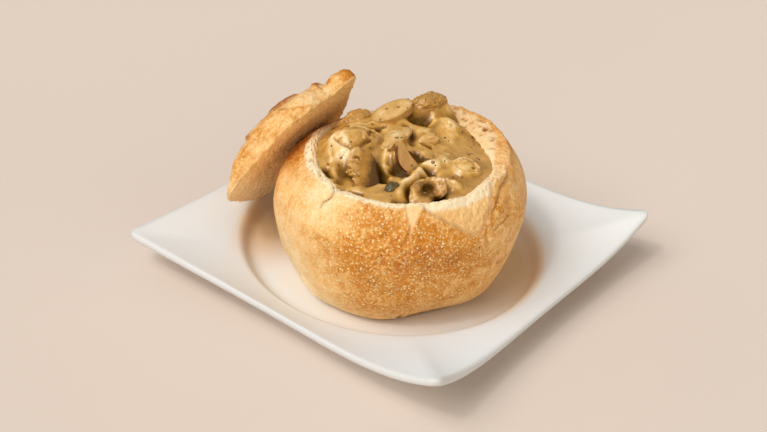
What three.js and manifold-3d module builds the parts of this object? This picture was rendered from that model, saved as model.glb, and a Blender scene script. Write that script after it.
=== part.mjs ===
// A round loaf hollowed out as a bowl and filled with a creamy beef and mushroom stew.
// It stands in the well of a square plate, and its cut-off top leans against its side.
// Millimetres, +Z up, origin on the table under the middle of the plate.
import * as THREE from 'three';
import { ImprovedNoise } from 'three/addons/math/ImprovedNoise.js';
import { mergeVertices } from 'three/addons/utils/BufferGeometryUtils.js';
import Module from 'manifold-3d';

const wasm = await Module();
wasm.setup();

const GAP = 0.35; // clear space between pieces that touch
const ROOM = 0.6; // how far the sauce is cut back round a piece
const WALL_GAP = 0.45; // the same against the slanted wall of the hollow

// Plate
const PLATE_SIDE = 217; // corner to corner along one side
const PLATE_SIDE_SAG = 3; // how far the middle of a side curves in
const PLATE_CORNER_RADIUS = 5;
const PLATE_THICKNESS = 4.6;
const PLATE_SIDE_STEPS = 14; // facets along one side
const PLATE_CORNER_STEPS = 4; // facets round one corner
const WELL_CENTRE = new THREE.Vector2(-1.9, 0.8); // the well sits a little off the middle
const WELL_RADIUS = 90.5;
const WELL_FLOOR_RADIUS = 81;
const WELL_DEPTH = 8.3;
const FOOT_RADIUS = 66;
const FOOT_WIDTH = 7;
const FOOT_HEIGHT = 2.4;
const EDGE_RISE = 7.5; // the middle of a side above the well's rim
const CORNER_RISE = [14.8, -6.5, 1.5, 17.5]; // each corner above that, from +X+Y anticlockwise
const CORNER_SWEEP = 3.4; // how late along a side the corner sweeps up
const FLANGE_CURVE = 1.25;
const WELL_FLOOR_Z = FOOT_HEIGHT + PLATE_THICKNESS;
const WELL_RIM_Z = WELL_FLOOR_Z + WELL_DEPTH;

// Loaf, in its own frame: origin under its middle, its scored front facing -Y
const LOAF_CENTRE = new THREE.Vector2(7.7, -11.3);
const LOAF_TURN = 34.8; // degrees from the plate's sides
const LOAF_RADIUS = 70.5;
const LOAF_BELLY_Z = 56.3; // height of the widest girth
const LOAF_BASE_RADIUS = 50;
const LOAF_CROWN_Z = 84.8; // where the dome would narrow to the crown radius
const LOAF_CROWN_RADIUS = 50.4;
const RIM_Z = 78.3; // height of the cut
const RIM_FADE_Z = 40; // the rim's rise and fall fades out down to here
const HOLLOW_RADIUS = 50.5;
const HOLLOW_FLOOR_Z = 24;
const HOLLOW_FLOOR_RADIUS = 34;
const LOAF_SEGMENTS = 60;

// Stew
const STEW_LEVEL = 76.4;
const STEW_RIPPLE = 0.7;

// Cut-off top
const LID_RADIUS = 49.5;
const LID_EDGE = 10.5; // thickness at the rim
const LID_HEIGHT = 24;
const LID_SEGMENTS = 48;
const LID_CENTRE = new THREE.Vector3(-61.8, 38.95, 49.6);
const LID_CRUMB_FACES = new THREE.Vector3(0.75, -0.458, -0.476);

const CRUST = 0xd9a463;
const SAUCE = 0xc19a55;
const GLAZE = 0xece8e3;
const MUSHROOM = 0xb3894f;
const BEEF = 0x96703f;

const noise = new ImprovedNoise();
const radians = THREE.MathUtils.degToRad;

/** A smooth bump of height 1 at the middle that fades to 0 at the given half width. */
function bump(value, middle, halfWidth) {
  const t = Math.min(Math.abs(value - middle) / halfWidth, 1);
  return (1 - t * t) ** 2;
}

/** The same bump on an angle in degrees, which wraps round. */
function angleBump(angle, middle, halfWidth) {
  const away = ((angle - middle + 540) % 360) - 180;
  return bump(away, 0, halfWidth);
}

/** Merges the shared vertices of a geometry and drops the triangles that close up to a line. */
function closed(geometry) {
  const bare = geometry.clone();
  bare.deleteAttribute('normal');
  bare.deleteAttribute('uv');
  const merged = mergeVertices(bare, 1e-4);
  const index = Array.from(merged.index.array);
  const kept = [];
  for (let i = 0; i < index.length; i += 3) {
    const [a, b, c] = index.slice(i, i + 3);
    if (a !== b && b !== c && c !== a) kept.push(a, b, c);
  }
  merged.setIndex(kept);
  merged.computeVertexNormals();
  return merged;
}

/** Turns the profile about Z and puts each vertex where place(radius, height, step) says. */
function turned(profile, segments, place) {
  const lathe = new THREE.LatheGeometry(profile, segments);
  const position = lathe.attributes.position;
  for (let step = 0; step <= segments; step += 1) {
    profile.forEach((point, row) => {
      const p = place(point.x, point.y, step % segments);
      position.setXYZ(step * profile.length + row, p.x, p.y, p.z);
    });
  }
  return closed(lathe);
}

/** A closed geometry as a solid that can be cut. */
function solid(geometry) {
  const vertProperties = new Float32Array(geometry.attributes.position.array);
  const triVerts = new Uint32Array(geometry.index.array);
  return new wasm.Manifold(new wasm.Mesh({ numProp: 3, vertProperties, triVerts }));
}

/** The largest body of a solid as a geometry. */
function largestBody(cutSolid) {
  const bodies = cutSolid.decompose();
  const largest = bodies.reduce((a, b) => (a.volume() > b.volume() ? a : b));
  const mesh = largest.getMesh();
  const geometry = new THREE.BufferGeometry();
  geometry.setAttribute('position', new THREE.BufferAttribute(mesh.vertProperties, 3));
  geometry.setIndex(new THREE.BufferAttribute(mesh.triVerts, 1));
  geometry.computeVertexNormals();
  return geometry;
}

/** The geometry with its surface moved out by the clear space. */
function swollen(geometry, distance) {
  const out = geometry.clone();
  const { position, normal } = out.attributes;
  for (let i = 0; i < position.count; i += 1) {
    position.setXYZ(
      i,
      position.getX(i) + normal.getX(i) * distance,
      position.getY(i) + normal.getY(i) * distance,
      position.getZ(i) + normal.getZ(i) * distance,
    );
  }
  return out;
}

function part(name, geometry, color, roughness) {
  const material = new THREE.MeshStandardMaterial({ color, roughness, metalness: 0 });
  const mesh = new THREE.Mesh(geometry, material);
  mesh.name = name;
  return mesh;
}

// Plate: a turned dish whose flange is drawn out to a square with swept-up corners.

/** The plate's outline: a straight side then the arc of its corner, four times. */
function plateOutline() {
  const half = PLATE_SIDE / 2;
  const straight = half - PLATE_CORNER_RADIUS;
  const points = [];
  for (let quarter = 0; quarter < 4; quarter += 1) {
    const add = (x, y) => {
      const point = new THREE.Vector2(x, y);
      points.push(point.rotateAround(new THREE.Vector2(), quarter * (Math.PI / 2)));
    };
    for (let i = 0; i < PLATE_SIDE_STEPS; i += 1) {
      const along = (2 * i) / PLATE_SIDE_STEPS - 1;
      add(half - PLATE_SIDE_SAG * (1 - along ** 2), straight * along);
    }
    for (let i = 0; i < PLATE_CORNER_STEPS; i += 1) {
      const a = (i / PLATE_CORNER_STEPS) * (Math.PI / 2);
      add(straight + PLATE_CORNER_RADIUS * Math.cos(a), straight + PLATE_CORNER_RADIUS * Math.sin(a));
    }
  }
  return points;
}

/** Height of the plate's edge above the well's rim at a point of its outline. */
function edgeRise(point) {
  const { x, y } = point;
  const quadrant = Math.floor(THREE.MathUtils.euclideanModulo(Math.atan2(y, x), 2 * Math.PI) / (Math.PI / 2));
  const along = Math.sqrt(Math.max(point.lengthSq() / (PLATE_SIDE / 2) ** 2 - 1, 0));
  return EDGE_RISE + CORNER_RISE[quadrant] * along ** CORNER_SWEEP;
}

function plateGeometry() {
  const outline = plateOutline();
  const flange = PLATE_SIDE / 2 - PLATE_SIDE_SAG - WELL_RADIUS;
  const at = (share) => WELL_RADIUS + share * flange;
  const under = -PLATE_THICKNESS;
  const well = -WELL_DEPTH;
  const table = -WELL_RIM_Z;
  const recess = table + FOOT_HEIGHT / 2;
  // Radius and height from the well's rim. Radii past the rim are shares of the flange.
  const profile = [
    [0, recess],
    [FOOT_RADIUS - FOOT_WIDTH, recess],
    [FOOT_RADIUS - FOOT_WIDTH + 1, table],
    [FOOT_RADIUS, table],
    [FOOT_RADIUS + 2, well + under],
    [WELL_FLOOR_RADIUS + 1, well + under],
    [at(0.12), under],
    [at(0.55), under],
    [at(0.97), under],
    [at(1), under * 0.6],
    [at(1), under * 0.25],
    [at(0.97), 0],
    [at(0.55), 0],
    [at(0.2), 0],
    [WELL_RADIUS - 1.5, -0.6],
    [WELL_FLOOR_RADIUS + 2.5, well * 0.8],
    [WELL_FLOOR_RADIUS - 1.5, well],
    [40, well],
    [0, well],
  ].map(([radius, height]) => new THREE.Vector2(radius, height));
  return turned(profile, outline.length, (radius, height, step) => {
    const edge = outline[step].clone().sub(WELL_CENTRE);
    const direction = edge.clone().normalize();
    const share = Math.max((radius - WELL_RADIUS) / flange, 0);
    const reach = Math.min(radius, WELL_RADIUS) + share * (edge.length() - WELL_RADIUS);
    const rise = edgeRise(outline[step]) * share ** FLANGE_CURVE;
    return new THREE.Vector3(direction.x * reach, direction.y * reach, WELL_RIM_Z + height + rise);
  }).translate(WELL_CENTRE.x, WELL_CENTRE.y, 0);
}

// Loaf: a turned ball, flat below and cut above, with a hollow for the stew.

/** Radius of the crust at a height above the loaf's base. */
function loafRadius(z) {
  if (z <= LOAF_BELLY_Z) {
    const k = (LOAF_BELLY_Z - z) / LOAF_BELLY_Z;
    return LOAF_BASE_RADIUS + (LOAF_RADIUS - LOAF_BASE_RADIUS) * (1 - k ** 1.75) ** (1 / 1.75);
  }
  const k = (z - LOAF_BELLY_Z) / (LOAF_CROWN_Z - LOAF_BELLY_Z);
  return LOAF_RADIUS - (LOAF_RADIUS - LOAF_CROWN_RADIUS) * k ** 1.5;
}

/** How far the cut edge stands above or below the plane of the cut. */
function rimRise(angle) {
  const ragged = 1.1 * noise.noise(angle * 0.11, 3.1, 0.4);
  const highBack = 4.5 * angleBump(angle, 48, 62);
  const flapPeak = 2.6 * angleBump(angle, -28, 20);
  const crack = -2.4 * angleBump(angle, -126, 7);
  const lowBack = -8 * angleBump(angle, 126, 56);
  return ragged + highBack + flapPeak + crack + lowBack;
}

/** That rise at a height on the loaf: it fades out down the side. */
function rimLift(angle, z) {
  return rimRise(angle) * Math.max((z - RIM_FADE_Z) / (RIM_Z - RIM_FADE_Z), 0) ** 3;
}

/** Relief of the crust: uneven girth, the tucked-in base, the lid's side and the opened score. */
function crustRelief(angle, z) {
  const uneven = 1.6 * noise.noise(Math.cos(radians(angle)) * 1.7, Math.sin(radians(angle)) * 1.7, z / 38);
  const leaningSide = -6.5 * angleBump(angle, 178, 58) * bump(z, 76, 36);
  const tuckedBase = -6.5 * angleBump(angle, -62, 38) * bump(z, 0, 26);
  const fullBack = 4.5 * angleBump(angle, 22, 46) * bump(z, 72, 26);
  const lobeFloor = 62 + 18 * Math.max(Math.abs(angle + 50) / 26 - 0.25, 0);
  const openedScore = Math.abs(angle + 50) < 26 && z > lobeFloor ? -1.6 : 0;
  const foldBeside = 1.2 * angleBump(angle, -17, 9) * bump(z, 62, 26);
  return uneven + leaningSide + tuckedBase + fullBack + openedScore + foldBeside;
}

/** Inner radius of the hollow: the crumb is left thick at the back right and on the lid's side. */
function hollowRadius(angle, z) {
  const depth = Math.min(Math.max((RIM_Z - z) / (RIM_Z - HOLLOW_FLOOR_Z), 0), 1);
  const thickCrumb = (6.5 * angleBump(angle, 42, 58) + 4.5 * angleBump(angle, 178, 54)) * (1 - depth);
  return HOLLOW_RADIUS - thickCrumb - (HOLLOW_RADIUS - HOLLOW_FLOOR_RADIUS) * depth ** 2.2;
}

const HOLLOW_ROWS = [RIM_Z - 2.6, 66, 52, 38, HOLLOW_FLOOR_Z + 3];

const stepAngle = (step) => (step * 360) / LOAF_SEGMENTS;
const polar = (radius, angle, z) => new THREE.Vector3(
  radius * Math.cos(radians(angle)),
  radius * Math.sin(radians(angle)),
  z,
);

function loafGeometry() {
  const crustRows = [0, 2, 6, 12, 20, 29, 38, 47, 56, 63, 69, 74, RIM_Z];
  const outside = crustRows.map((z) => new THREE.Vector2(loafRadius(z), z));
  const inside = HOLLOW_ROWS.map((z) => new THREE.Vector2(-1, z));
  const profile = [
    new THREE.Vector2(0, 0),
    ...outside,
    ...inside,
    new THREE.Vector2(0, HOLLOW_FLOOR_Z),
  ];
  return turned(profile, LOAF_SEGMENTS, (radius, z, step) => {
    const angle = stepAngle(step);
    const signed = angle > 180 ? angle - 360 : angle;
    const lift = rimLift(signed, z);
    if (radius < 0) return polar(hollowRadius(signed, z), angle, z + lift);
    if (radius === 0) return new THREE.Vector3(0, 0, z);
    const fade = z === 0 ? 0.5 : 1;
    return polar(radius + fade * crustRelief(signed, z), angle, z + lift);
  });
}

// Stew: the sauce fills the hollow to its uneven surface and is cut round each piece.

/** Height of the sauce over the loaf's base. */
function stewSurface(x, y) {
  const mound = (height, cx, cy, wx, wy) => height * Math.exp(-(((x - cx) / wx) ** 2) - ((y - cy) / wy) ** 2);
  const heap = mound(11.5, 2, 25, 25, 24) + mound(5.5, -25, 8, 17, 22) + mound(3.2, 2, -12, 22, 16);
  const nearWall = Math.min(Math.hypot(x, y) / HOLLOW_RADIUS, 1) ** 7;
  const dip = Math.min(rimRise(THREE.MathUtils.radToDeg(Math.atan2(y, x))), 0);
  const ripple = STEW_RIPPLE * noise.noise(x / 9, y / 9, 5.5);
  return STEW_LEVEL + (heap + ripple) * (1 - nearWall) + dip * nearWall;
}

function sauceGeometry() {
  const surfaceShares = [0.93, 0.84, 0.72, 0.6, 0.47, 0.34, 0.2, 0];
  const walls = [...HOLLOW_ROWS].reverse().map((z) => new THREE.Vector2(-1, z));
  const profile = [
    new THREE.Vector2(0, HOLLOW_FLOOR_Z + GAP),
    ...walls,
    ...surfaceShares.map((share) => new THREE.Vector2(share, RIM_Z)),
  ];
  return turned(profile, LOAF_SEGMENTS, (radius, z, step) => {
    const angle = stepAngle(step);
    const signed = angle > 180 ? angle - 360 : angle;
    const top = HOLLOW_ROWS[0];
    if (radius < 0) {
      const lift = rimLift(signed, z);
      const shift = z === top ? Math.min(lift, 0) - GAP : Math.max(lift, 0) + GAP;
      return polar(hollowRadius(signed, z) - WALL_GAP, angle, z + shift);
    }
    if (z < RIM_Z) return new THREE.Vector3(0, 0, z);
    const rim = hollowRadius(signed, top) - WALL_GAP;
    const p = polar(rim * radius, angle, 0);
    p.z = stewSurface(p.x, p.y);
    return p;
  });
}

const size = (x, y, z) => new THREE.Vector3(x, y, z);

/** An uneven lump, stretched to size, for a chunk of beef. */
function lump(size, seed, roughness = 0.16) {
  const geometry = new THREE.IcosahedronGeometry(1, 2);
  const position = geometry.attributes.position;
  const v = new THREE.Vector3();
  for (let i = 0; i < position.count; i += 1) {
    v.fromBufferAttribute(position, i).normalize();
    const swell = 1 + roughness * noise.noise(v.x * 2.1 + seed, v.y * 2.1, v.z * 2.1);
    const square = 1 / Math.max(Math.abs(v.x), Math.abs(v.y), Math.abs(v.z)) ** 0.35;
    v.multiplyScalar(swell * square).multiply(size);
    position.setXYZ(i, v.x, v.y, v.z);
  }
  return closed(geometry);
}

/** A whole small mushroom cap, dished on its gill side, which faces +Z. */
function mushroomCap(radius, height) {
  const profile = [
    [0, -height],
    [radius * 0.55, -height * 0.86],
    [radius * 0.9, -height * 0.45],
    [radius, 0],
    [radius * 0.82, height * 0.2],
    [radius * 0.6, -height * 0.05],
    [radius * 0.3, -height * 0.22],
    [0, -height * 0.1],
  ].map(([r, z]) => new THREE.Vector2(r, z));
  const segments = 18;
  return turned(profile, segments, (r, z, step) => {
    const angle = (step * 360) / segments;
    return polar(r * (1 + 0.07 * Math.sin(radians(angle * 3))), angle, z);
  });
}

/** An oval slice off a mushroom cap, lying across the Z axis. */
const ovalSlice = (length, width, thickness) => lump(size(length / 2, width / 2, thickness / 2), 6.1, 0.1);

// Each piece by its middle, its turn in degrees about X, Y and Z, and its shape.
const STEW_PIECES = [
  ['beef_top', [12, 34.5, 91.4], [8, -6, 12], BEEF, lump(size(10, 6.5, 4.8), 1.3)],
  ['beef_back', [25, 24, 83.4], [0, 16, -30], BEEF, lump(size(8, 5.5, 5), 4.1)],
  ['beef_left_back', [-26.5, 25.5, 81.4], [6, -8, 18], BEEF, lump(size(9, 5.5, 4.2), 8.4)],
  ['beef_middle', [-5, 1, 82.4], [0, -12, 72], BEEF, lump(size(12, 7.5, 6), 7.7)],
  ['beef_front', [-19.5, -26, 78.6], [34, 12, 58], BEEF, lump(size(11, 8, 5), 2.6, 0.3)],
  ['beef_right', [21, -11, 79], [0, 8, 35], BEEF, lump(size(7.5, 4.5, 4), 9.2)],
  ['beef_rim', [29, -30, 76.8], [12, 10, -20], BEEF, lump(size(5.5, 4, 3.6), 6.6)],
  ['beef_tip', [14, 7, 82], [0, -12, 10], BEEF, lump(size(6, 4, 4), 5.4)],
  ['mushroom_slice_top', [-7.5, 23.5, 88.4], [22, -10, 36], MUSHROOM, ovalSlice(25, 15, 6)],
  ['mushroom_slice_middle', [4, -16, 82], [52, 24, -44], MUSHROOM, ovalSlice(20, 14, 5)],
  ['mushroom_half', [-27.5, -1, 82], [10, -8, 30], MUSHROOM, lump(size(10, 8.5, 6), 3.3, 0.1)],
  ['mushroom_cap_front', [14.5, -38, 77.2], [48, 4, 20], MUSHROOM, mushroomCap(11, 8)],
  ['mushroom_cap_right', [35, -12, 76.8], [16, 10, 0], MUSHROOM, mushroomCap(6.5, 4.5)],
  ['mushroom_stem_front', [-3.5, -37, 77], [24, 0, 60], MUSHROOM, lump(size(4.4, 3, 2.6), 1.9)],
];

function stewParts() {
  const meshes = STEW_PIECES.map(([name, place, turn, color, geometry]) => {
    const mesh = part(name, geometry, color, 0.42);
    mesh.position.set(...place);
    mesh.rotation.set(...turn.map(radians));
    mesh.updateMatrix();
    return mesh;
  });
  const room = (mesh) => solid(swollen(mesh.geometry, ROOM).applyMatrix4(mesh.matrix));
  const sauce = meshes.reduce((left, mesh) => left.subtract(room(mesh)), solid(sauceGeometry()));
  return [part('sauce', largestBody(sauce), SAUCE, 0.35), ...meshes];
}

// Cut-off top: a thick dome with three scored ridges, crust up and crumb face down.

/** Relief of the three overlapping scored flaps, whose edges cross the X axis. */
function lidRelief(x, y) {
  const step = (at, width) => THREE.MathUtils.smoothstep(x + 0.3 * y, at - width, at + width);
  const flaps = 3 * step(-17, 3) + step(1, 4);
  const ear = 6.5 * step(33, 2.5);
  const tip = 5.5 * step(42, 7);
  return flaps - ear + tip - 1.5;
}

/** Outline of the cut-off top: uneven, and drawn to a point at its upper end. */
function lidOutline(angle) {
  const uneven = 0.035 * noise.noise(Math.cos(radians(angle)) * 1.5, Math.sin(radians(angle)) * 1.5, 8.8);
  const point = 0.08 * angleBump(angle, -4, 24);
  const narrowed = 0.16 * angleBump(angle, 56, 52) + 0.03 * angleBump(angle, 150, 40);
  return 1 + uneven + point - narrowed;
}

function lidGeometry() {
  const domeShares = [0.95, 0.86, 0.76, 0.65, 0.53, 0.4, 0.26, 0.12, 0];
  const domeZ = (share) => LID_EDGE + (LID_HEIGHT - LID_EDGE) * (1 - share ** 2.1);
  const profile = [
    new THREE.Vector2(0, 0),
    new THREE.Vector2(LID_RADIUS * 0.5, 0),
    new THREE.Vector2(LID_RADIUS * 0.96, 0),
    new THREE.Vector2(LID_RADIUS, LID_EDGE * 0.4),
    ...domeShares.map((share) => new THREE.Vector2(share * LID_RADIUS, domeZ(share))),
  ];
  return turned(profile, LID_SEGMENTS, (radius, z, step) => {
    const angle = (step * 360) / LID_SEGMENTS;
    const p = polar(radius * lidOutline(angle), angle, z);
    if (z > LID_EDGE * 0.5) p.z += lidRelief(p.x, p.y) * Math.min(1, (z - LID_EDGE * 0.5) / LID_EDGE);
    return p;
  });
}

function lidPart() {
  const lid = part('bread_lid', lidGeometry(), CRUST, 0.75);
  lid.position.copy(LID_CENTRE);
  lid.quaternion.setFromUnitVectors(new THREE.Vector3(0, 0, -1), LID_CRUMB_FACES.clone().normalize());
  return lid;
}

const loaf = new THREE.Group();
loaf.position.set(LOAF_CENTRE.x, LOAF_CENTRE.y, WELL_FLOOR_Z + GAP);
loaf.rotation.z = radians(LOAF_TURN);
loaf.add(part('bread_bowl', loafGeometry(), CRUST, 0.75), lidPart(), ...stewParts());

const meal = new THREE.Group();
meal.add(part('plate', plateGeometry(), GLAZE, 0.3), loaf);

export default meal;
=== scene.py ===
"""A loaf hollowed out as a bowl and heaped with creamy stew, its cut-off top beside it, on a square plate.

Sizes are in millimetres in the loaf's or the plate's own frame, and become metres in the shared frame.
"""

import logging
import math
from dataclasses import dataclass, field
from enum import Enum
from typing import Callable, Optional, Sequence, Tuple, Union

import bmesh
import bpy
import numpy as np
from mathutils import Matrix, Vector
from mathutils.bvhtree import BVHTree


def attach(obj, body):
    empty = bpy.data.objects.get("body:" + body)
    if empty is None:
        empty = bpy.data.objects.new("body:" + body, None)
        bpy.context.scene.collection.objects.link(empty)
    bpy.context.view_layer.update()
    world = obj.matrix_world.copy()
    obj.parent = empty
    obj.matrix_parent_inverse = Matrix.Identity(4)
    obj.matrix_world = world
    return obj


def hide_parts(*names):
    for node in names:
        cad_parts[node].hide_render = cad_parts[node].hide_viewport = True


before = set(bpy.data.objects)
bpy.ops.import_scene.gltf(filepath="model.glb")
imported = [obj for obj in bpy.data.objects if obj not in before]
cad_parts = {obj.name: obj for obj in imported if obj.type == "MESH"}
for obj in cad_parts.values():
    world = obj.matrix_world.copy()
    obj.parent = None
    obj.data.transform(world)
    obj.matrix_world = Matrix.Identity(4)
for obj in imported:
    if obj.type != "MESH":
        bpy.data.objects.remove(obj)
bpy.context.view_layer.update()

MM = 0.001
BODY = "root"
LOG = logging.getLogger("bread_bowl")

Field = np.ndarray
Colour = Tuple[float, float, float, float]
Socket = bpy.types.NodeSocket
Value = Union[Socket, float]
Tint = Union[Socket, Colour]


def tone(red: int, green: int, blue: int) -> Colour:
    """A screen colour, 0 to 255 a channel, as the linear colour that a shader takes."""
    channels = (red / 255, green / 255, blue / 255)
    linear = [c / 12.92 if c <= 0.04045 else ((c + 0.055) / 1.055) ** 2.4 for c in channels]
    return (linear[0], linear[1], linear[2], 1.0)


def bump(value: Field, middle: float, half_width: float) -> Field:
    """A smooth bump of height 1 at the middle that fades to 0 at the half width."""
    t = np.minimum(np.abs(value - middle) / half_width, 1.0)
    return (1.0 - t * t) ** 2


def angle_bump(angle: Field, middle: float, half_width: float) -> Field:
    """The same bump on an angle in degrees, which wraps round."""
    return bump((angle - middle + 540.0) % 360.0 - 180.0, 0.0, half_width)


def bell(value: Field, middle: float, width: float) -> Field:
    """A bell curve of height 1 at the middle, which never quite ends."""
    return np.exp(-(((value - middle) / width) ** 2))


def fade(value: Field, low: float, high: float) -> Field:
    """A smooth step from 0 at low to 1 at high."""
    t = np.clip((value - low) / (high - low), 0.0, 1.0)
    return t * t * (3.0 - 2.0 * t)


def dome(distance: Field, reach: float) -> Field:
    """A round cap of height 1 over the distance 0 that ends at reach."""
    return np.clip(1.0 - (distance / reach) ** 2, 0.0, 1.0)


def spun(radius: Union[Field, float], turn: Field, z: Field) -> Field:
    """Points by their distance from the Z axis, their angle in radians and their height, one a row."""
    return np.column_stack([radius * np.cos(turn), radius * np.sin(turn), z])


def along_path(u: Field, v: Field, path: Sequence[Tuple[float, float]]) -> Tuple[Field, Field]:
    """Distance of each point from a path on a surface.

    Args:
        u: First coordinate of each point.
        v: Second coordinate of each point.
        path: The corners of the path.

    Returns:
        The distance of each point, and its share of the way along the path.
    """
    nearest = np.full(u.shape, 1e9)
    share = np.zeros(u.shape)
    legs = len(path) - 1
    for number, ((u0, v0), (u1, v1)) in enumerate(zip(path[:-1], path[1:])):
        du, dv = u1 - u0, v1 - v0
        t = np.clip(((u - u0) * du + (v - v0) * dv) / (du * du + dv * dv), 0.0, 1.0)
        distance = np.hypot(u - u0 - t * du, v - v0 - t * dv)
        closer = distance < nearest
        nearest = np.where(closer, distance, nearest)
        share = np.where(closer, (number + t) / legs, share)
    return nearest, share


class Grain:
    """Seeded smooth noise and cell noise on arrays of points in millimetres."""

    gain = 1.7
    layer_shift = 31.7

    def __init__(self, seed: int) -> None:
        """Draws the tables.

        Args:
            seed: The seed of the random draw.
        """
        draw = np.random.default_rng(seed)
        self.table = draw.permutation(256)
        slopes = draw.normal(size=(256, 3))
        self.slopes = slopes / np.linalg.norm(slopes, axis=1)[:, None]
        self.spots = draw.random((256, 3))

    def _pick(self, cell: Field) -> Field:
        """The table's number for each whole-numbered cell."""
        inner = self.table[(self.table[cell[:, 0] & 255] + cell[:, 1]) & 255]
        return self.table[(inner + cell[:, 2]) & 255]

    def smooth(self, points: Field, size: float) -> Field:
        """Smooth noise from about -1 to 1.

        Args:
            points: The points, one a row.
            size: The size of its lumps.

        Returns:
            One value a point.
        """
        q = points / size
        base = np.floor(q).astype(int)
        f = q - base
        ease = f * f * f * (f * (f * 6.0 - 15.0) + 10.0)
        total = np.zeros(len(points))
        for corner in np.ndindex(2, 2, 2):
            c = np.array(corner)
            slope = self.slopes[self._pick(base + c)]
            weight = np.prod(np.where(c, ease, 1.0 - ease), axis=1)
            total += weight * ((f - c) * slope).sum(axis=1)
        return self.gain * total

    def rough(self, points: Field, size: float, layers: int = 3) -> Field:
        """Smooth noise with finer layers on it, each half as large and half as strong."""
        return sum(self.smooth(points + self.layer_shift * n, size / 2**n) / 2**n for n in range(layers))

    def cells(self, points: Field, size: float) -> Tuple[Field, Field]:
        """Cell noise.

        Args:
            points: The points, one a row.
            size: The size of a cell.

        Returns:
            The distance to the nearest spot in cells, and that spot's own draw from 0 to 1.
        """
        q = points / size
        base = np.floor(q).astype(int)
        best = np.full(len(points), 9.0)
        draw = np.zeros(len(points))
        for shift in np.ndindex(3, 3, 3):
            cell = base + np.array(shift) - 1
            number = self._pick(cell)
            distance = np.linalg.norm(q - cell - self.spots[number], axis=1)
            closer = distance < best
            best = np.where(closer, distance, best)
            draw = np.where(closer, number / 255.0, draw)
        return best, draw


class Slot(Enum):
    """The record's material slots."""

    GLAZE = "glaze"
    BREAD = "bread"
    SAUCE = "sauce"
    BEEF = "beef"
    MUSHROOM = "mushroom"


class Graph:
    """A material's node graph, with a short method for each kind of node in it."""

    def __init__(self, name: str) -> None:
        """Starts a material.

        Args:
            name: The material's name.
        """
        self.material = bpy.data.materials.new(name)
        self.material.use_nodes = True
        self.tree = self.material.node_tree
        self.shader = self.tree.nodes["Principled BSDF"]
        self.place = self.tree.nodes.new("ShaderNodeTexCoord").outputs["Object"]

    def plug(self, value: Union[Value, Colour], target: Socket) -> None:
        """Links a socket to a target, or sets the target to a constant."""
        if isinstance(value, bpy.types.NodeSocket):
            self.tree.links.new(value, target)
        else:
            target.default_value = value

    def constants(self, **values: Union[float, Colour]) -> None:
        """Sets sockets of the shader, named in lower case with underscores, to constants."""
        named = {socket.name.lower().replace(" ", "_"): socket for socket in self.shader.inputs}
        for name, value in values.items():
            named[name].default_value = value

    def attribute(self, name: str) -> Socket:
        """A value that the mesh holds at each vertex."""
        node = self.tree.nodes.new("ShaderNodeAttribute")
        node.attribute_name = name
        return node.outputs["Fac"]

    def noise(self, scale: float, detail: float = 3.0, roughness: float = 0.55) -> Socket:
        """Cloudy noise on the object's own coordinates."""
        node = self.tree.nodes.new("ShaderNodeTexNoise")
        self.plug(self.place, node.inputs["Vector"])
        node.inputs["Scale"].default_value = scale
        node.inputs["Detail"].default_value = detail
        node.inputs["Roughness"].default_value = roughness
        return node.outputs[0]

    def cells(self, scale: float) -> Socket:
        """Distance to the nearest of many scattered spots."""
        node = self.tree.nodes.new("ShaderNodeTexVoronoi")
        self.plug(self.place, node.inputs["Vector"])
        node.inputs["Scale"].default_value = scale
        return node.outputs["Distance"]

    def sums(self, operation: str, first: Value, second: Value) -> Socket:
        """A sum of two values, kept from 0 to 1.

        Args:
            operation: The name of the sum, such as ADD or MULTIPLY.
            first: The first value.
            second: The second value.

        Returns:
            The result.
        """
        node = self.tree.nodes.new("ShaderNodeMath")
        node.operation = operation
        node.use_clamp = True
        self.plug(first, node.inputs[0])
        self.plug(second, node.inputs[1])
        return node.outputs[0]

    def span(
        self, value: Socket, low: float, high: float, to_low: float = 0.0, to_high: float = 1.0
    ) -> Socket:
        """Stretches the values from low to high over a new range."""
        node = self.tree.nodes.new("ShaderNodeMapRange")
        self.plug(value, node.inputs[0])
        for socket, number in zip(node.inputs[1:5], (low, high, to_low, to_high)):
            socket.default_value = number
        return node.outputs[0]

    def ramp(self, value: Socket, stops: Sequence[Tuple[float, Colour]]) -> Socket:
        """Colours along a scale.

        Args:
            value: Where on the scale each point is.
            stops: The places on the scale with their colours, lowest first.

        Returns:
            The colour.
        """
        node = self.tree.nodes.new("ShaderNodeValToRGB")
        band = node.color_ramp
        while len(band.elements) < len(stops):
            band.elements.new(0.5)
        for element, (at, colour) in zip(band.elements, stops):
            element.position = at
            element.color = colour
        self.plug(value, node.inputs["Fac"])
        return node.outputs["Color"]

    def blend(self, share: Socket, first: Tint, second: Tint) -> Socket:
        """Mixes two colours by a share."""
        node = self.tree.nodes.new("ShaderNodeMix")
        node.data_type = "RGBA"
        self.plug(share, node.inputs[0])
        self.plug(first, node.inputs[6])
        self.plug(second, node.inputs[7])
        return node.outputs[2]

    def relief(self, height: Socket, depth: float, below: Optional[Socket] = None) -> Socket:
        """Fine relief on the surface normal.

        Args:
            height: The height of the relief, 0 to 1.
            depth: Its depth in metres.
            below: A coarser relief that it lies on.

        Returns:
            The normal.
        """
        node = self.tree.nodes.new("ShaderNodeBump")
        node.inputs["Distance"].default_value = depth
        node.inputs["Strength"].default_value = 1.0
        self.plug(height, node.inputs["Height"])
        if below is not None:
            self.plug(below, node.inputs["Normal"])
        return node.outputs["Normal"]

    def done(self, colour: Socket, roughness: Value, normal: Socket) -> bpy.types.Material:
        """Plugs the colour, the roughness and the normal into the shader and gives the material."""
        self.plug(colour, self.shader.inputs["Base Color"])
        self.plug(roughness, self.shader.inputs["Roughness"])
        self.plug(normal, self.shader.inputs["Normal"])
        return self.material


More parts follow.
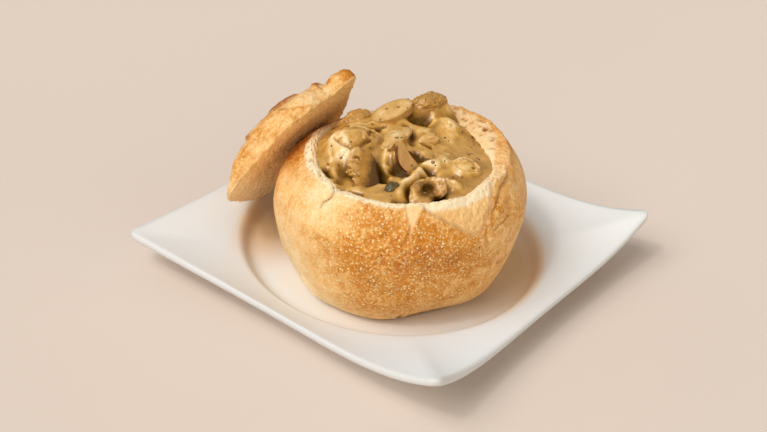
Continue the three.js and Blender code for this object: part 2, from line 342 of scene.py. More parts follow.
@dataclass(frozen=True)
class BreadFinish:
    """Baked crust and torn crumb, by how far each spot is browned, with painted shade in cracks, pits,
    pores and the hollow.
    """

    name: str = "baked_bread"
    pale: Colour = tone(255, 226, 178)
    golden: Colour = tone(247, 194, 122)
    amber: Colour = tone(208, 130, 16)
    brown: Colour = tone(172, 90, 16)
    crumb: Colour = tone(253, 232, 192)
    tan: Colour = tone(255, 202, 114)
    # Painted shade in pores and holes, and the crumb's darker fibres.
    pore_shade_and_grain: Colour = tone(164, 100, 36)
    speck: Colour = tone(255, 230, 168)
    # Painted shade in the loaf's cracks, pits and hollow, and the browned edges of the lid's flaps.
    crease_shade_and_browning: Colour = tone(108, 58, 20)

    def material(self) -> bpy.types.Material:
        """Builds the material.

        Returns:
            The material.
        """
        graph = Graph(self.name)
        mottle = graph.span(graph.noise(620.0, 3.0, 0.6), 0.34, 0.66, -0.08, 0.08)
        patch = graph.span(graph.noise(130.0, 3.0), 0.3, 0.7, -0.12, 0.12)
        toast = graph.sums("ADD", graph.sums("ADD", graph.attribute("toast"), mottle), patch)
        stops = [(0.0, self.pale), (0.33, self.golden), (0.68, self.amber), (1.0, self.brown)]
        crust = graph.ramp(toast, stops)
        dots = graph.span(graph.cells(480.0), 0.20, 0.38, 1.0, 0.0)
        spread = graph.span(graph.noise(330.0, 2.0), 0.38, 0.60, 0.15, 1.0)
        smears = graph.span(graph.noise(900.0, 2.0, 0.6), 0.52, 0.66, 0.0, 0.6)
        blisters = graph.sums("ADD", graph.sums("MULTIPLY", dots, spread), smears)
        specks = graph.sums("MULTIPLY", blisters, graph.attribute("speckle"))
        crust = graph.blend(specks, crust, self.speck)
        strands = graph.span(graph.noise(640.0, 4.0, 0.7), 0.46, 0.64)
        coarse = graph.span(graph.attribute("tan"), 0.4, 0.9, 0.14, 0.5)
        # Darker fibres, and painted shade in the pores and holes.
        depth = graph.sums("ADD", graph.sums("MULTIPLY", strands, coarse), graph.attribute("pit"))
        inside = graph.blend(graph.attribute("tan"), self.crumb, self.tan)
        crumb = graph.blend(depth, inside, self.pore_shade_and_grain)
        baked = graph.blend(graph.attribute("crumb"), crust, crumb)
        # Painted shade in cracks, pits and the hollow, and browned flap edges.
        colour = graph.blend(graph.attribute("crease"), baked, self.crease_shade_and_browning)
        ground = graph.relief(graph.noise(620.0, 3.0), 0.0004)
        raised = graph.relief(specks, 0.0003, ground)
        normal = graph.relief(graph.noise(2600.0, 2.0), 0.00012, raised)
        graph.constants(specular_ior_level=0.3, subsurface_weight=0.05, subsurface_scale=0.002)
        roughness = graph.span(graph.attribute("crumb"), 0.0, 1.0, 0.52, 0.92)
        return graph.done(colour, roughness, normal)


@dataclass(frozen=True)
class StewFinish:
    """Cream sauce with painted light on its raised spots and painted shade in its hollows, and what it
    coats.

    How bare of sauce a spot is decides which of the two shows there.
    """

    name: str
    # Pale and light are painted light on raised spots, cream is the sauce, brown and the last are painted
    # shade in hollows; brown also colours the flecks.
    pale: Colour = tone(244, 214, 164)
    light: Colour = tone(232, 190, 122)
    cream: Colour = tone(206, 156, 76)
    brown: Colour = tone(150, 104, 36)
    deep: Colour = tone(84, 56, 16)
    bare: Colour = tone(178, 126, 52)
    skin: Colour = tone(88, 58, 20)
    gloss: float = 0.13

    def material(self) -> bpy.types.Material:
        """Builds the material.

        Returns:
            The material.
        """
        graph = Graph(self.name)
        swirl = graph.span(graph.noise(130.0, 3.0, 0.5), 0.3, 0.7, -0.10, 0.10)
        # Painted shade by how deep each spot lies, painted light where it stands out.
        depth = graph.sums("ADD", graph.attribute("deep"), swirl)
        stops = [(0.0, self.pale), (0.09, self.light), (0.26, self.cream)]
        stops += [(0.6, self.brown), (1.0, self.deep)]
        sauce = graph.ramp(depth, stops)
        fleck = graph.span(graph.cells(360.0), 0.05, 0.09, 0.5, 0.0)
        coated = graph.blend(fleck, sauce, self.brown)
        fibre = graph.span(graph.noise(700.0, 4.0, 0.65), 0.32, 0.68, 0.0, 0.2)
        browned = graph.span(graph.sums("ADD", graph.attribute("bare"), fibre), 0.5, 1.0)
        food = graph.blend(browned, self.bare, self.skin)
        shaded = graph.blend(graph.span(depth, 0.4, 1.0), food, self.deep)
        colour = graph.blend(graph.span(graph.attribute("bare"), 0.0, 0.4), coated, shaded)
        coarse = graph.relief(graph.noise(260.0, 2.0), 0.00035)
        normal = graph.relief(graph.noise(1300.0, 3.0), 0.00012, coarse)
        graph.constants(subsurface_weight=0.06, subsurface_scale=0.0015)
        graph.plug(graph.span(depth, 0.45, 0.95, 0.55, 0.06), graph.shader.inputs["Specular IOR Level"])
        roughness = graph.span(graph.noise(420.0, 2.0), 0.3, 0.7, self.gloss - 0.05, self.gloss + 0.10)
        return graph.done(colour, roughness, normal)


@dataclass(frozen=True)
class GlazeFinish:
    """Satin white glaze, with painted warm shade near the bread, painted cool light in front of it and
    painted shade on the lip.
    """

    name: str = "white_glaze"
    white: Colour = (0.81, 0.812, 0.80, 1.0)
    soft: Colour = (0.80, 0.80, 0.785, 1.0)
    # Painted warm shade, tinted like light bounced off the bread.
    glow: Colour = (0.74, 0.50, 0.25, 1.0)
    # Painted cool light.
    cool: Colour = (0.85, 0.915, 0.95, 1.0)
    # Painted shade on the lip.
    painted_lip_shade: Colour = (0.71, 0.715, 0.70, 1.0)

    def material(self) -> bpy.types.Material:
        """Builds the material.

        Returns:
            The material.
        """
        graph = Graph(self.name)
        plain = graph.blend(graph.span(graph.noise(16.0, 2.0), 0.35, 0.65), self.white, self.soft)
        # Painted cool light in front of the loaf.
        even = graph.blend(graph.attribute("cool"), plain, self.cool)
        # Painted shade on the lip.
        edged = graph.blend(graph.attribute("lip"), even, self.painted_lip_shade)
        # Painted warm shade near the bread.
        colour = graph.blend(graph.attribute("glow"), edged, self.glow)
        normal = graph.relief(graph.noise(45.0, 1.0), 0.00002)
        graph.constants(specular_ior_level=0.3)
        roughness = graph.span(graph.noise(90.0, 2.0), 0.3, 0.7, 0.46, 0.52)
        return graph.done(colour, roughness, normal)


@dataclass(frozen=True)
class FleckFinish:
    """Ground pepper, chopped herb or chopped mushroom."""

    name: str
    light: Colour
    dark: Colour

    def material(self) -> bpy.types.Material:
        """Builds the material.

        Returns:
            The material.
        """
        graph = Graph(self.name)
        colour = graph.blend(graph.span(graph.noise(800.0, 2.0), 0.35, 0.65), self.light, self.dark)
        normal = graph.relief(graph.noise(2400.0, 2.0), 0.0001)
        return graph.done(colour, 0.5, normal)


def drum(rows: int, steps: int) -> bmesh.types.BMesh:
    """A line of points spun into a drum with pointed ends, whose height tells each vertex its row.

    Args:
        rows: How many rows of vertices.
        steps: How many vertices round each row.

    Returns:
        The drum.
    """
    shape = bmesh.new()
    ends = [shape.verts.new((1.0, 0.0, 0.0)), shape.verts.new((1.0, 0.0, rows - 1.0))]
    line = shape.edges.new(ends)
    bmesh.ops.subdivide_edges(shape, edges=[line], cuts=rows - 2)
    geometry = list(shape.verts) + list(shape.edges)
    bmesh.ops.spin(
        shape, geom=geometry, axis=(0, 0, 1), cent=(0, 0, 0), angle=2 * math.pi, steps=steps, use_merge=True
    )
    for height in (0.0, rows - 1.0):
        ring = [v for v in shape.verts if abs(v.co.z - height) < 0.25]
        bmesh.ops.pointmerge(shape, verts=ring, merge_co=(0.0, 0.0, height))
    bmesh.ops.recalc_face_normals(shape, faces=shape.faces)
    return shape


def ball(detail: int) -> bmesh.types.BMesh:
    """A ball of near-even triangles."""
    shape = bmesh.new()
    bmesh.ops.create_icosphere(shape, subdivisions=detail, radius=1.0)
    return shape


class Piece:
    """A mesh that is shaped by arrays and then dressed."""

    def __init__(self, name: str, shape: bmesh.types.BMesh) -> None:
        """Takes over a bmesh.

        Args:
            name: The piece's name.
            shape: Its mesh, before it is shaped.
        """
        self.name = name
        self.mesh = bpy.data.meshes.new(name)
        shape.to_mesh(self.mesh)
        shape.free()
        self.points = np.empty(len(self.mesh.vertices) * 3)
        self.mesh.vertices.foreach_get("co", self.points)
        self.points = self.points.reshape(-1, 3)

    def rows_and_turns(self) -> Tuple[Field, Field]:
        """The row of each vertex of a drum that isn't shaped yet, and its angle in radians."""
        x, y, z = self.points.T
        return np.rint(z).astype(int), np.arctan2(y, x)

    def hold(self, **values: Field) -> None:
        """Stores one value a vertex under each name, from 0 to 1."""
        for name, value in values.items():
            layer = self.mesh.attributes.new(name, "FLOAT", "POINT")
            layer.data.foreach_set("value", np.clip(value, 0.0, 1.0).astype(np.float32))

    def finish(
        self,
        points: Field,
        place: Matrix,
        material: bpy.types.Material,
        slot: Slot,
        nodes: Sequence[str] = (),
    ) -> bpy.types.Object:
        """Puts the shaped vertices in the shared frame and makes the object.

        Args:
            points: The vertices in millimetres.
            place: The matrix from their frame, in millimetres, to the part's frame in millimetres.
            material: The finish.
            slot: The record's slot of that finish. Not used.
            nodes: The CAD nodes that the piece stands for.

        Returns:
            The object.
        """
        turn = np.array(place.to_3x3())
        moved = (points @ turn.T + np.array(place.translation)) * MM
        self.mesh.vertices.foreach_set("co", moved.astype(np.float32).ravel())
        self.mesh.polygons.foreach_set("use_smooth", np.ones(len(self.mesh.polygons), dtype=bool))
        self.mesh.update()
        check = bmesh.new()
        check.from_mesh(self.mesh)
        inside_out = check.calc_volume(signed=True) < 0
        check.free()
        if inside_out:
            self.mesh.flip_normals()
        self.mesh.materials.append(material)
        thing = bpy.data.objects.new(self.name, self.mesh)
        bpy.context.scene.collection.objects.link(thing)
        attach(thing, BODY)
        if nodes:
            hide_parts(*nodes)
        LOG.info("%s: %d vertices", self.name, len(self.mesh.vertices))
        return thing


def even_rows(radius: Field, height: Field, spacing: float) -> Tuple[Field, Field]:
    """Spreads the points of a profile evenly along it.

    Args:
        radius: Radii along a finely stepped profile.
        height: Heights along it.
        spacing: The distance between the rows to make.

    Returns:
        The radii and the heights of the rows.
    """
    length = np.concatenate([[0.0], np.cumsum(np.hypot(np.diff(radius), np.diff(height)))])
    stations = np.linspace(0.0, length[-1], int(length[-1] / spacing) + 2)
    return np.interp(stations, length, radius), np.interp(stations, length, height)


@dataclass
class Plate:
    """The square plate with swept-up corners and a round well.

    Past lip_start, a share of the flange, its section keeps its width from the edge inwards.
    """

    side: float = 217.0
    side_sag: float = 3.0
    corner_radius: float = 5.0
    thickness: float = 4.6
    well_centre: Tuple[float, float] = (-1.9, 0.8)
    well_radius: float = 90.5
    well_floor_radius: float = 81.0
    well_depth: float = 8.3
    foot_radius: float = 66.0
    foot_width: float = 7.0
    foot_height: float = 2.4
    edge_rise: float = 7.5
    corner_rise: Tuple[float, float, float, float] = (14.8, -6.5, 1.5, 17.5)
    corner_sweep: float = 3.4
    flange_curve: float = 1.25
    lip_start: float = 0.9
    side_steps: int = 66
    corner_steps: int = 14
    row_spacing: float = 1.4

    @property
    def flange(self) -> float:
        """Width of the flange from the well to the middle of a side."""
        return self.side / 2 - self.side_sag - self.well_radius

    def outline(self) -> Field:
        """Points round the plate's edge, one side and one corner after another.

        Returns:
            The points, one a row.
        """
        half = self.side / 2
        straight = half - self.corner_radius
        t = np.linspace(-1.0, 1.0, self.side_steps, endpoint=False)
        a = np.linspace(0.0, math.pi / 2, self.corner_steps, endpoint=False)
        side = np.stack([half - self.side_sag * (1 - t**2), straight * t], 1)
        corner = straight + self.corner_radius * np.stack([np.cos(a), np.sin(a)], 1)
        quarter = np.concatenate([side, corner])
        turn = np.array([[0.0, 1.0], [-1.0, 0.0]])
        rows = [quarter]
        for _ in range(3):
            rows.append(rows[-1] @ turn)
        return np.concatenate(rows)

    def profile(self) -> Tuple[Field, Field]:
        """The plate's section from under its middle, out and back over its top.

        Returns:
            Radii from the well's middle to the middle of a side, and heights from the well's rim.
        """
        under, well = -self.thickness, -self.well_depth
        table = well + under - self.foot_height
        recess = table + self.foot_height / 2
        foot_inside = self.foot_radius - self.foot_width
        floor_edge = self.well_floor_radius

        def at(share: float) -> float:
            """Radius at a share of the flange."""
            return self.well_radius + share * self.flange

        bends = np.linspace(0.2, math.pi - 0.2, 9)
        corners = [
            (0.0, recess),
            (foot_inside - 0.6, recess),
            (foot_inside + 1, table),
            (self.foot_radius, table),
            (self.foot_radius + 2, well + under),
            (floor_edge + 1, well + under),
            (at(0.12), under),
            (at(0.55), under),
            *((at(1.0 - 0.03 * (1 - math.sin(k))), 0.5 * under * (1 + math.cos(k))) for k in bends),
            (at(0.9), 0.0),
            (at(0.55), 0.0),
            (at(0.2), -0.02),
            (at(0.06), -0.12),
            (self.well_radius - 1.2, -0.55),
            (self.well_radius - 3.2, -1.7),
            (floor_edge + 3.0, well * 0.74),
            (floor_edge + 0.6, well * 0.93),
            (floor_edge - 2.5, well * 0.992),
            (floor_edge - 6, well),
            (30.0, well),
            (0.0, well),
        ]
        radius, height = np.array(corners).T
        return even_rows(radius, height, self.row_spacing)

    def build(self, loaf: "Loaf", lid: "Lid", material: bpy.types.Material) -> None:
        """Builds and dresses the plate.

        Args:
            loaf: The loaf that stands in its well.
            lid: The lid that leans over its rim.
            material: The glaze.
        """
        square = self.outline()
        outline = square - np.array(self.well_centre)
        steps = len(outline)
        radius, height = self.profile()
        piece = Piece("dinner_plate", drum(len(radius), steps))
        row, turn = piece.rows_and_turns()
        step = np.rint(turn / (2 * math.pi) * steps).astype(int) % steps
        edge = outline[step]
        reach = np.linalg.norm(edge, axis=1)
        x, y = square[step].T
        corner = np.floor((np.arctan2(y, x) / (math.pi / 2)) % 4).astype(int)
        along = np.sqrt(np.maximum((x**2 + y**2) / (self.side / 2) ** 2 - 1, 0))
        rise = self.edge_rise + np.array(self.corner_rise)[corner] * along**self.corner_sweep
        part = np.maximum((radius[row] - self.well_radius) / self.flange, 0)
        to_lip = reach - (1 - self.lip_start) * self.flange - self.well_radius
        wide = self.well_radius + part / self.lip_start * to_lip
        from_edge = reach - (1 - part) * self.flange
        out = np.where(part > self.lip_start, from_edge, np.where(part > 0, wide, radius[row]))
        share = np.maximum(out - self.well_radius, 0) / (reach - self.well_radius)
        flat = edge / reach[:, None] * out[:, None]
        floor = self.foot_height + self.thickness + self.well_depth
        points = np.column_stack([flat, floor + height[row] + rise * share**self.flange_curve])
        place = Matrix.Translation((*self.well_centre, 0))
        painted_warm_shade, cool = self._beside(points, place, loaf, lid)
        upper = row > len(radius) // 2
        in_well = fade(radius[row], self.well_radius + 1.5, self.well_radius - 1.0) * upper
        lip = fade(part, 0.82, 0.95)
        # Painted warm shade in the well and faintly on the flange, painted cool light in front of the loaf,
        # painted shade on the lip.
        piece.hold(glow=painted_warm_shade * np.maximum(in_well, 0.12 * (1 - lip)), cool=cool * (1 - lip), lip=lip)
        piece.finish(points, place, material, Slot.GLAZE, ["plate"])

    def _beside(self, points: Field, place: Matrix, loaf: "Loaf", lid: "Lid") -> Tuple[Field, Field]:
        """How much painted warm shade and painted cool light each spot gets from where it lies.

        Args:
            points: The plate's vertices.
            place: The matrix from their frame to the part's frame.
            loaf: The loaf that stands in the well.
            lid: The lid that leans over the rim.

        Returns:
            The shares of the painted warm shade and of the painted cool light, 0 to 1.
        """
        spots = np.column_stack([points, np.ones(len(points))])
        x, y, _, _ = np.array(loaf.place().inverted() @ place) @ spots.T
        away, around = np.hypot(x, y), np.degrees(np.arctan2(y, x))
        # Painted warm shade: on the loaf's shaded right side, under the lid, and faintly all round the
        # loaf.
        shaded_side = fade(away, 112.0, 74.0) * angle_bump(around, 18.0, 80.0)
        lid_side = bump(np.hypot(x - 1.28 * lid.centre[0], y - 0.75 * lid.centre[1]), 0.0, 54.0)
        painted_warm_shade = np.maximum.reduce([shaded_side, 0.9 * lid_side, 0.15 * fade(away, 76.0, 56.0)])
        # Painted cool light on the flange in front of and to the right of the loaf.
        return painted_warm_shade, angle_bump(around, -68.0, 84.0) * fade(away, 66.0, 84.0)


@dataclass(frozen=True)
class Crease:
    """A crack, fold or score in the crust, as a path of angles in degrees and heights."""

    path: Tuple[Tuple[float, float], ...]
    width: float
    depth: float
    lip: float
    # How much painted shade darkens the crack.
    dark: float


@dataclass
class Loaf:
    """The hollowed loaf, in its own frame with its scored front facing -Y.

    At the radius unrolled, angles on the crust become millimetres.
    The opened score and the torn notch are placed by the angle and the height of their lowest point.
    """

    centre: Tuple[float, float] = (7.7, -11.3)
    base: float = 7.35
    turn: float = 34.8
    radius: float = 70.5
    belly: float = 56.3
    base_radius: float = 50.0
    crown: float = 84.8
    crown_radius: float = 50.4
    rim: float = 78.3
    rim_fade: float = 40.0
    rim_drop: float = 2.6
    hollow_radius: float = 50.5
    hollow_floor: float = 24.0
    hollow_floor_radius: float = 34.0
    steps: int = 500
    row_spacing: float = 0.92
    rim_rows: int = 16
    hollow_rows: int = 18
    unrolled: float = 66.0
    score: Tuple[float, float] = (-50.0, 62.6)
    notch: Tuple[float, float] = (-82.4, 67.5)
    creases: Tuple[Crease, ...] = (
        Crease(
            ((-127.6, 79.0), (-126.2, 76.2), (-127.4, 73.6), (-129.4, 70.6), (-129.0, 68.0)),
            width=0.5, depth=2.4, lip=0.25, dark=1.0,
        ),
        Crease(((-82.8, 70.0), (-83.9, 65.5), (-86.2, 61.0)), width=0.8, depth=0.8, lip=0.5, dark=0.25),
        Crease(
            ((-4.0, 79.0), (-11.7, 76.0), (-26.2, 74.0), (-34.6, 70.5), (-41.0, 68.2)),
            width=1.1, depth=1.5, lip=0.5, dark=0.22,
        ),
        Crease(((-28.5, 62.8), (-36.0, 61.8), (-41.0, 60.9)), width=0.6, depth=0.8, lip=0.4, dark=0.5),
        Crease(((-43.0, 67.5), (-45.5, 60.0), (-44.0, 53.0)), width=0.8, depth=0.7, lip=0.4, dark=0.2),
        Crease(((-142.0, 15.0), (-134.0, 9.0), (-125.0, 3.0)), width=1.2, depth=1.5, lip=0.6, dark=0.25),
        Crease(((-82.5, -1.0), (-82.0, 5.0), (-80.0, 10.0)), width=1.4, depth=2.4, lip=0.3, dark=0.3),
    )
    pits: Tuple[Tuple[float, float], ...] = (
        (-33.7, 36.2), (-49.0, 54.4), (-149.3, 33.7), (-20.0, 58.0),
    )
    grain: Grain = field(default_factory=lambda: Grain(11))

    def place(self) -> Matrix:
        """The matrix from the loaf's frame to the part's frame, in millimetres."""
        turn = Matrix.Rotation(math.radians(self.turn), 4, "Z")
        return Matrix.Translation((*self.centre, self.base)) @ turn

    def crust_radius(self, z: Field) -> Field:
        """Radius of the plain turned loaf at a height."""
        low = np.clip((self.belly - z) / self.belly, 0.0, 1.0)
        high = np.clip((z - self.belly) / (self.crown - self.belly), 0.0, None)
        below = self.base_radius + (self.radius - self.base_radius) * (1 - low**1.75) ** (1 / 1.75)
        above = self.radius - (self.radius - self.crown_radius) * high**1.5
        return np.where(z <= self.belly, below, above)

    def rim_rise(self, angle: Field) -> Field:
        """How far the cut edge stands above or below the plane of the cut."""
        around = np.column_stack([angle * 0.6, np.full(angle.shape, 3.0), np.zeros(angle.shape)])
        ragged = 0.8 * self.grain.rough(around, 9.0, 2)
        high = 4.5 * angle_bump(angle, 48, 62) + 2.6 * angle_bump(angle, -28, 20)
        low = 2.4 * angle_bump(angle, -126, 7) + 8 * angle_bump(angle, 126, 56)
        return ragged + high - low

    def rim_lift(self, angle: Field, z: Field) -> Field:
        """That rise at a height on the loaf, where it fades out down the side."""
        share = np.clip((z - self.rim_fade) / (self.rim - self.rim_fade), 0, None)
        return self.rim_rise(angle) * share**3

    def hollow(self, angle: Field, z: Field) -> Field:
        """Radius of the hollow at a height."""
        depth = np.clip((self.rim - z) / (self.rim - self.hollow_floor), 0, 1)
        thick = (6.5 * angle_bump(angle, 42, 58) + 4.5 * angle_bump(angle, 178, 54)) * (1 - depth)
        return self.hollow_radius - thick - (self.hollow_radius - self.hollow_floor_radius) * depth**2.2

    def girth(self, angle: Field, z: Field) -> Field:
        """Slow relief of the crust: uneven girth, tucked base, the side the lid leans on."""
        uneven = 1.3 * self.grain.smooth(spun(self.unrolled, np.radians(angle), z), 38.0)
        leaning = -6.5 * angle_bump(angle, 178, 58) * bump(z, 76, 36)
        tucked = -6.5 * angle_bump(angle, -62, 38) * bump(z, 0, 26)
        full = 4.5 * angle_bump(angle, 22, 46) * bump(z, 72, 26)
        fold = 1.2 * angle_bump(angle, -17, 9) * bump(z, 62, 26)
        return uneven + leaning + tucked + full + fold

    def lobe(self, angle: Field, z: Field) -> Field:
        """Distance inside the opened score's edge, in millimetres, positive inside."""
        foot_angle, foot = self.score
        left = np.maximum(-(angle - foot_angle) - 2.0, 0.0)
        right = np.maximum((angle - foot_angle) - 2.0, 0.0)
        floor = foot + 0.60 * left + 0.92 * right + 0.05 * np.minimum(left, 3) ** 2
        inside = (z - floor) * 0.82
        return np.where((angle > -82) & (angle < -24), inside, -9.0)

    def chip(self, angle: Field, z: Field) -> Field:
        """Distance inside the torn notch at the front of the rim, positive inside."""
        foot_angle, foot = self.notch
        half = 4.6 * np.clip((z - foot) / 10.5, 0, 2)
        return half - np.abs(np.radians(angle - foot_angle) * 60 - 0.12 * (z - 70))

    def cracks(self, angle: Field, z: Field, points: Field) -> Tuple[Field, Field]:
        """The cracks, folds and pits in the crust.

        Args:
            angle: Angles in degrees.
            z: Heights.
            points: The same spots on the plain turned loaf.

        Returns:
            Relief outwards, and how much painted shade darkens each spot.
        """
        relief, dark = np.zeros(angle.shape), np.zeros(angle.shape)
        wobble = 0.5 * self.grain.smooth(points, 2.4)
        around = np.radians(angle) * self.unrolled + wobble
        for line in self.creases:
            path = [(math.radians(a) * self.unrolled, h) for a, h in line.path]
            away, share = along_path(around, z + wobble, path)
            ends = np.sqrt(np.clip(1.0 - share**3, 0, 1)) * np.where(share <= 0, bell(away, 0.0, 2.5), 1)
            raised = line.lip * bell(away, 2.2 * line.width, 1.4 * line.width)
            relief += line.depth * ends * (raised - bell(away, 0.0, line.width))
            # Painted shade along the middle of each crack.
            dark = np.maximum(dark, line.dark * ends * bell(away, 0.0, 0.7 * line.width))
        for a, h in self.pits:
            away = np.hypot(np.radians(angle - a) * 68.0, z - h)
            relief -= dome(away, 1.3)
            # Painted shade in each pit.
            dark = np.maximum(dark, 0.6 * dome(away, 1.1))
        return relief, dark

    def surface(self, angle: Field, z: Field) -> Tuple[Field, Field, dict]:
        """The crust's fine relief and how each spot is baked.

        Args:
            angle: Angles in degrees.
            z: Heights.

        Returns:
            Relief outwards, rise of the torn edge, and the values that the finish reads.
        """
        points = spun(self.crust_radius(z), np.radians(angle), z)
        middle = angle_bump(angle, -96, 36) * bump(z, 62, 26)
        front = angle_bump(angle, -95, 105)
        near, draw = self.grain.cells(points, 2.2)
        blister = dome(near, 0.6) * (draw > 0.4) * (0.45 + 0.55 * draw)
        spread = np.clip(0.3 + 0.6 * front + 0.3 * self.grain.smooth(points, 16.0), 0, 1)
        folds = self.grain.smooth(points * np.array([1.0, 1.0, 1.5]) + 17, 8.0)
        wrinkle = bell(folds, 0.0, 0.11) * middle
        relief, crease = self.cracks(angle, z, points)
        relief += 0.42 * self.grain.rough(points, 8.0) * (0.45 + middle)
        relief += 0.7 * middle * self.grain.smooth(points * np.array([1.6, 1.6, 0.7]), 7.0)
        relief += blister * (0.08 + 0.3 * middle) + 0.5 * wrinkle

        lobe = self.lobe(angle + 0.6 * self.grain.smooth(points, 5.0), z)
        inside = fade(lobe, -0.4, 0.5)
        relief += inside * (-1.9 + 0.5 * self.grain.rough(points, 2.2)) + 0.6 * bell(lobe, -1.0, 0.9)
        # Painted shadow along the edge of the opened score.
        shadow = 0.16 + 0.4 * fade(angle, -54, -46)
        crease = np.maximum(crease, shadow * bell(lobe, 0.1, 0.5))
        chip = self.chip(angle, z)
        torn = fade(chip, -0.5, 0.8)
        relief += torn * (-0.9 + 0.5 * self.grain.rough(points, 2.4))
        relief += 0.5 * bell(chip, -0.6, 0.6) * (z > 67)
        fibres = 0.85 * self.grain.smooth(points * np.array([1, 1, 0.2]), 1.7)
        ragged = fade(z, self.rim - 2.4, self.rim) * (fibres + 0.5 * self.grain.smooth(points, 3.4))

        toast = 0.44 + 0.30 * middle + front * (0.14 * bump(z, 40, 46) + 0.10 * (1 - middle))
        toast += 0.15 * angle_bump(angle, -66, 26) * bump(z, 54, 24) - 0.05 * angle_bump(angle, -22, 50)
        toast += 0.16 * angle_bump(angle, 40, 80) * fade(z, self.rim - 7, self.rim - 1)
        toast += 0.10 * angle_bump(angle, 176, 62) * fade(z, 46, 72)
        toast += 0.30 * angle_bump(angle, 180, 26) * fade(z, 60, 74)
        toast -= 0.24 * angle_bump(angle, -142, 46) * fade(z, 56, 22) + 0.22 * angle_bump(angle, -148, 46)
        toast -= 0.22 * angle_bump(angle, -124, 26) * bump(z, 72, 26) + 0.14 * fade(z, 20, 4)
        toast -= 0.22 * wrinkle + blister * (0.12 + 0.14 * middle)
        toast += 0.10 * self.grain.rough(points, 15.0) + 0.08 * self.grain.rough(points, 3.0)
        toast += 0.10 * angle_bump(angle, -31, 16) * fade(z, 56, 66) * (1 - inside) - 0.04 * inside

        porous = self.rim - 1.0 - 3.2 * angle_bump(angle, 190, 42)
        white = fade(z + 0.7 * self.grain.smooth(points, 1.6), porous, porous + 0.7)
        white *= 1 - 0.9 * angle_bump(angle, 30, 72) ** 0.5
        bubbles, bubble_draw = self.grain.cells(points, 3.4)
        hole = dome(bubbles, 0.55) * (bubble_draw > 0.35) * white * angle_bump(angle, 190, 60) ** 0.5
        relief -= 1.1 * hole
        bright = fade(z + 0.9 * self.grain.smooth(points, 2.0), self.rim - 4.2, self.rim - 2.4)
        values = {
            "toast": toast,
            "speckle": (0.25 + 0.75 * spread) * (1 - 0.4 * inside) * (1 - torn),
            "crease": crease,
            "crumb": np.maximum.reduce([inside * (0.5 + 0.5 * bright), 0.7 * torn, white]),
            # Painted shade in the bubble holes.
            "pit": 0.85 * hole,
            "tan": np.maximum(0.62 * inside * (1 - bright), 0.4 * torn),
        }
        return relief, ragged, values

    def build(self, material: bpy.types.Material) -> None:
        """Builds and dresses the loaf, from under its middle over the crust and the rim into the hollow.

        Args:
            material: The bread's finish.
        """
        stages = self.belly - self.belly * np.cos(np.linspace(0, math.pi / 2, 400))
        stages = np.concatenate([stages, np.linspace(self.belly, self.rim, 300)[1:]])
        _, crust = even_rows(self.crust_radius(stages), stages, self.row_spacing)
        last = 2 + len(crust)
        inner = last + self.rim_rows
        rows = inner + self.hollow_rows + 1
        piece = Piece("hollowed_loaf", drum(rows, self.steps))
        row, turn = piece.rows_and_turns()
        angle = np.degrees(turn)

        z0 = np.concatenate([[0.0, 0.0], crust, np.full(rows - last, self.rim)])[row]
        relief, ragged, values = self.surface(angle, z0)
        foot = np.where(z0 == 0, 0.5, 1.0)
        radius = self.crust_radius(z0) + foot * self.girth(angle, z0) + fade(z0, 0.0, 2.0) * relief
        radius *= np.choose(np.minimum(row, 2), [0.0, 0.5, 1.0])
        z = z0 + self.rim_lift(angle, z0) + ragged

        on_rim = (row >= last) & (row < inner)
        share = np.clip((row - last + 1) / self.rim_rows, 0, 1)
        lip = np.full(angle.shape, self.rim - self.rim_drop)
        torn = spun(radius * (1 - 0.12 * share), turn, 9 * share)
        near, draw = self.grain.cells(torn, 3.0)
        hole = dome(np.hypot((angle - 31.0) * 0.98, (share - 0.42) * 11.0), 1.7)
        porous = 0.75 - 0.3 * angle_bump(angle, 50, 60) - 0.4 * angle_bump(angle, 190, 56)
        pit = np.maximum(dome(near, 0.5) * (draw > porous), 1.6 * hole)
        rough = 0.5 * self.grain.rough(torn, 2.2) + 0.45 * self.grain.smooth(torn, 1.2) - 1.2 * pit
        middle = np.sin(np.pi * share)
        rim_z = z + (lip + self.rim_lift(angle, lip) - z) * share
        rim_z += 0.8 * middle + rough * np.minimum(1, 3 * middle)
        radius = np.where(on_rim, radius + (self.hollow(angle, lip) - radius) * share, radius)
        z = np.where(on_rim, rim_z, z)

        in_hollow = row >= inner
        down = np.clip((row - inner) / (self.hollow_rows - 1), 0, 1)
        wall_z = lip + (self.hollow_floor + 3 - lip) * down
        wall = spun(50.0, turn, wall_z)
        wall_pores, wall_draw = self.grain.cells(wall, 3.2)
        wall_pit = dome(wall_pores, 0.55) * (wall_draw > 0.5)
        wall_rough = 0.5 * self.grain.rough(wall, 2.4) + 0.8 * wall_pit
        wall_radius = self.hollow(angle, wall_z) + wall_rough * fade(down, 0.3, 0.0)
        radius = np.where(in_hollow, wall_radius, radius)
        z = np.where(in_hollow, wall_z + self.rim_lift(angle, wall_z), z)
        radius = np.where(row == rows - 1, 0.0, radius)
        z = np.where(row == rows - 1, self.hollow_floor, z)

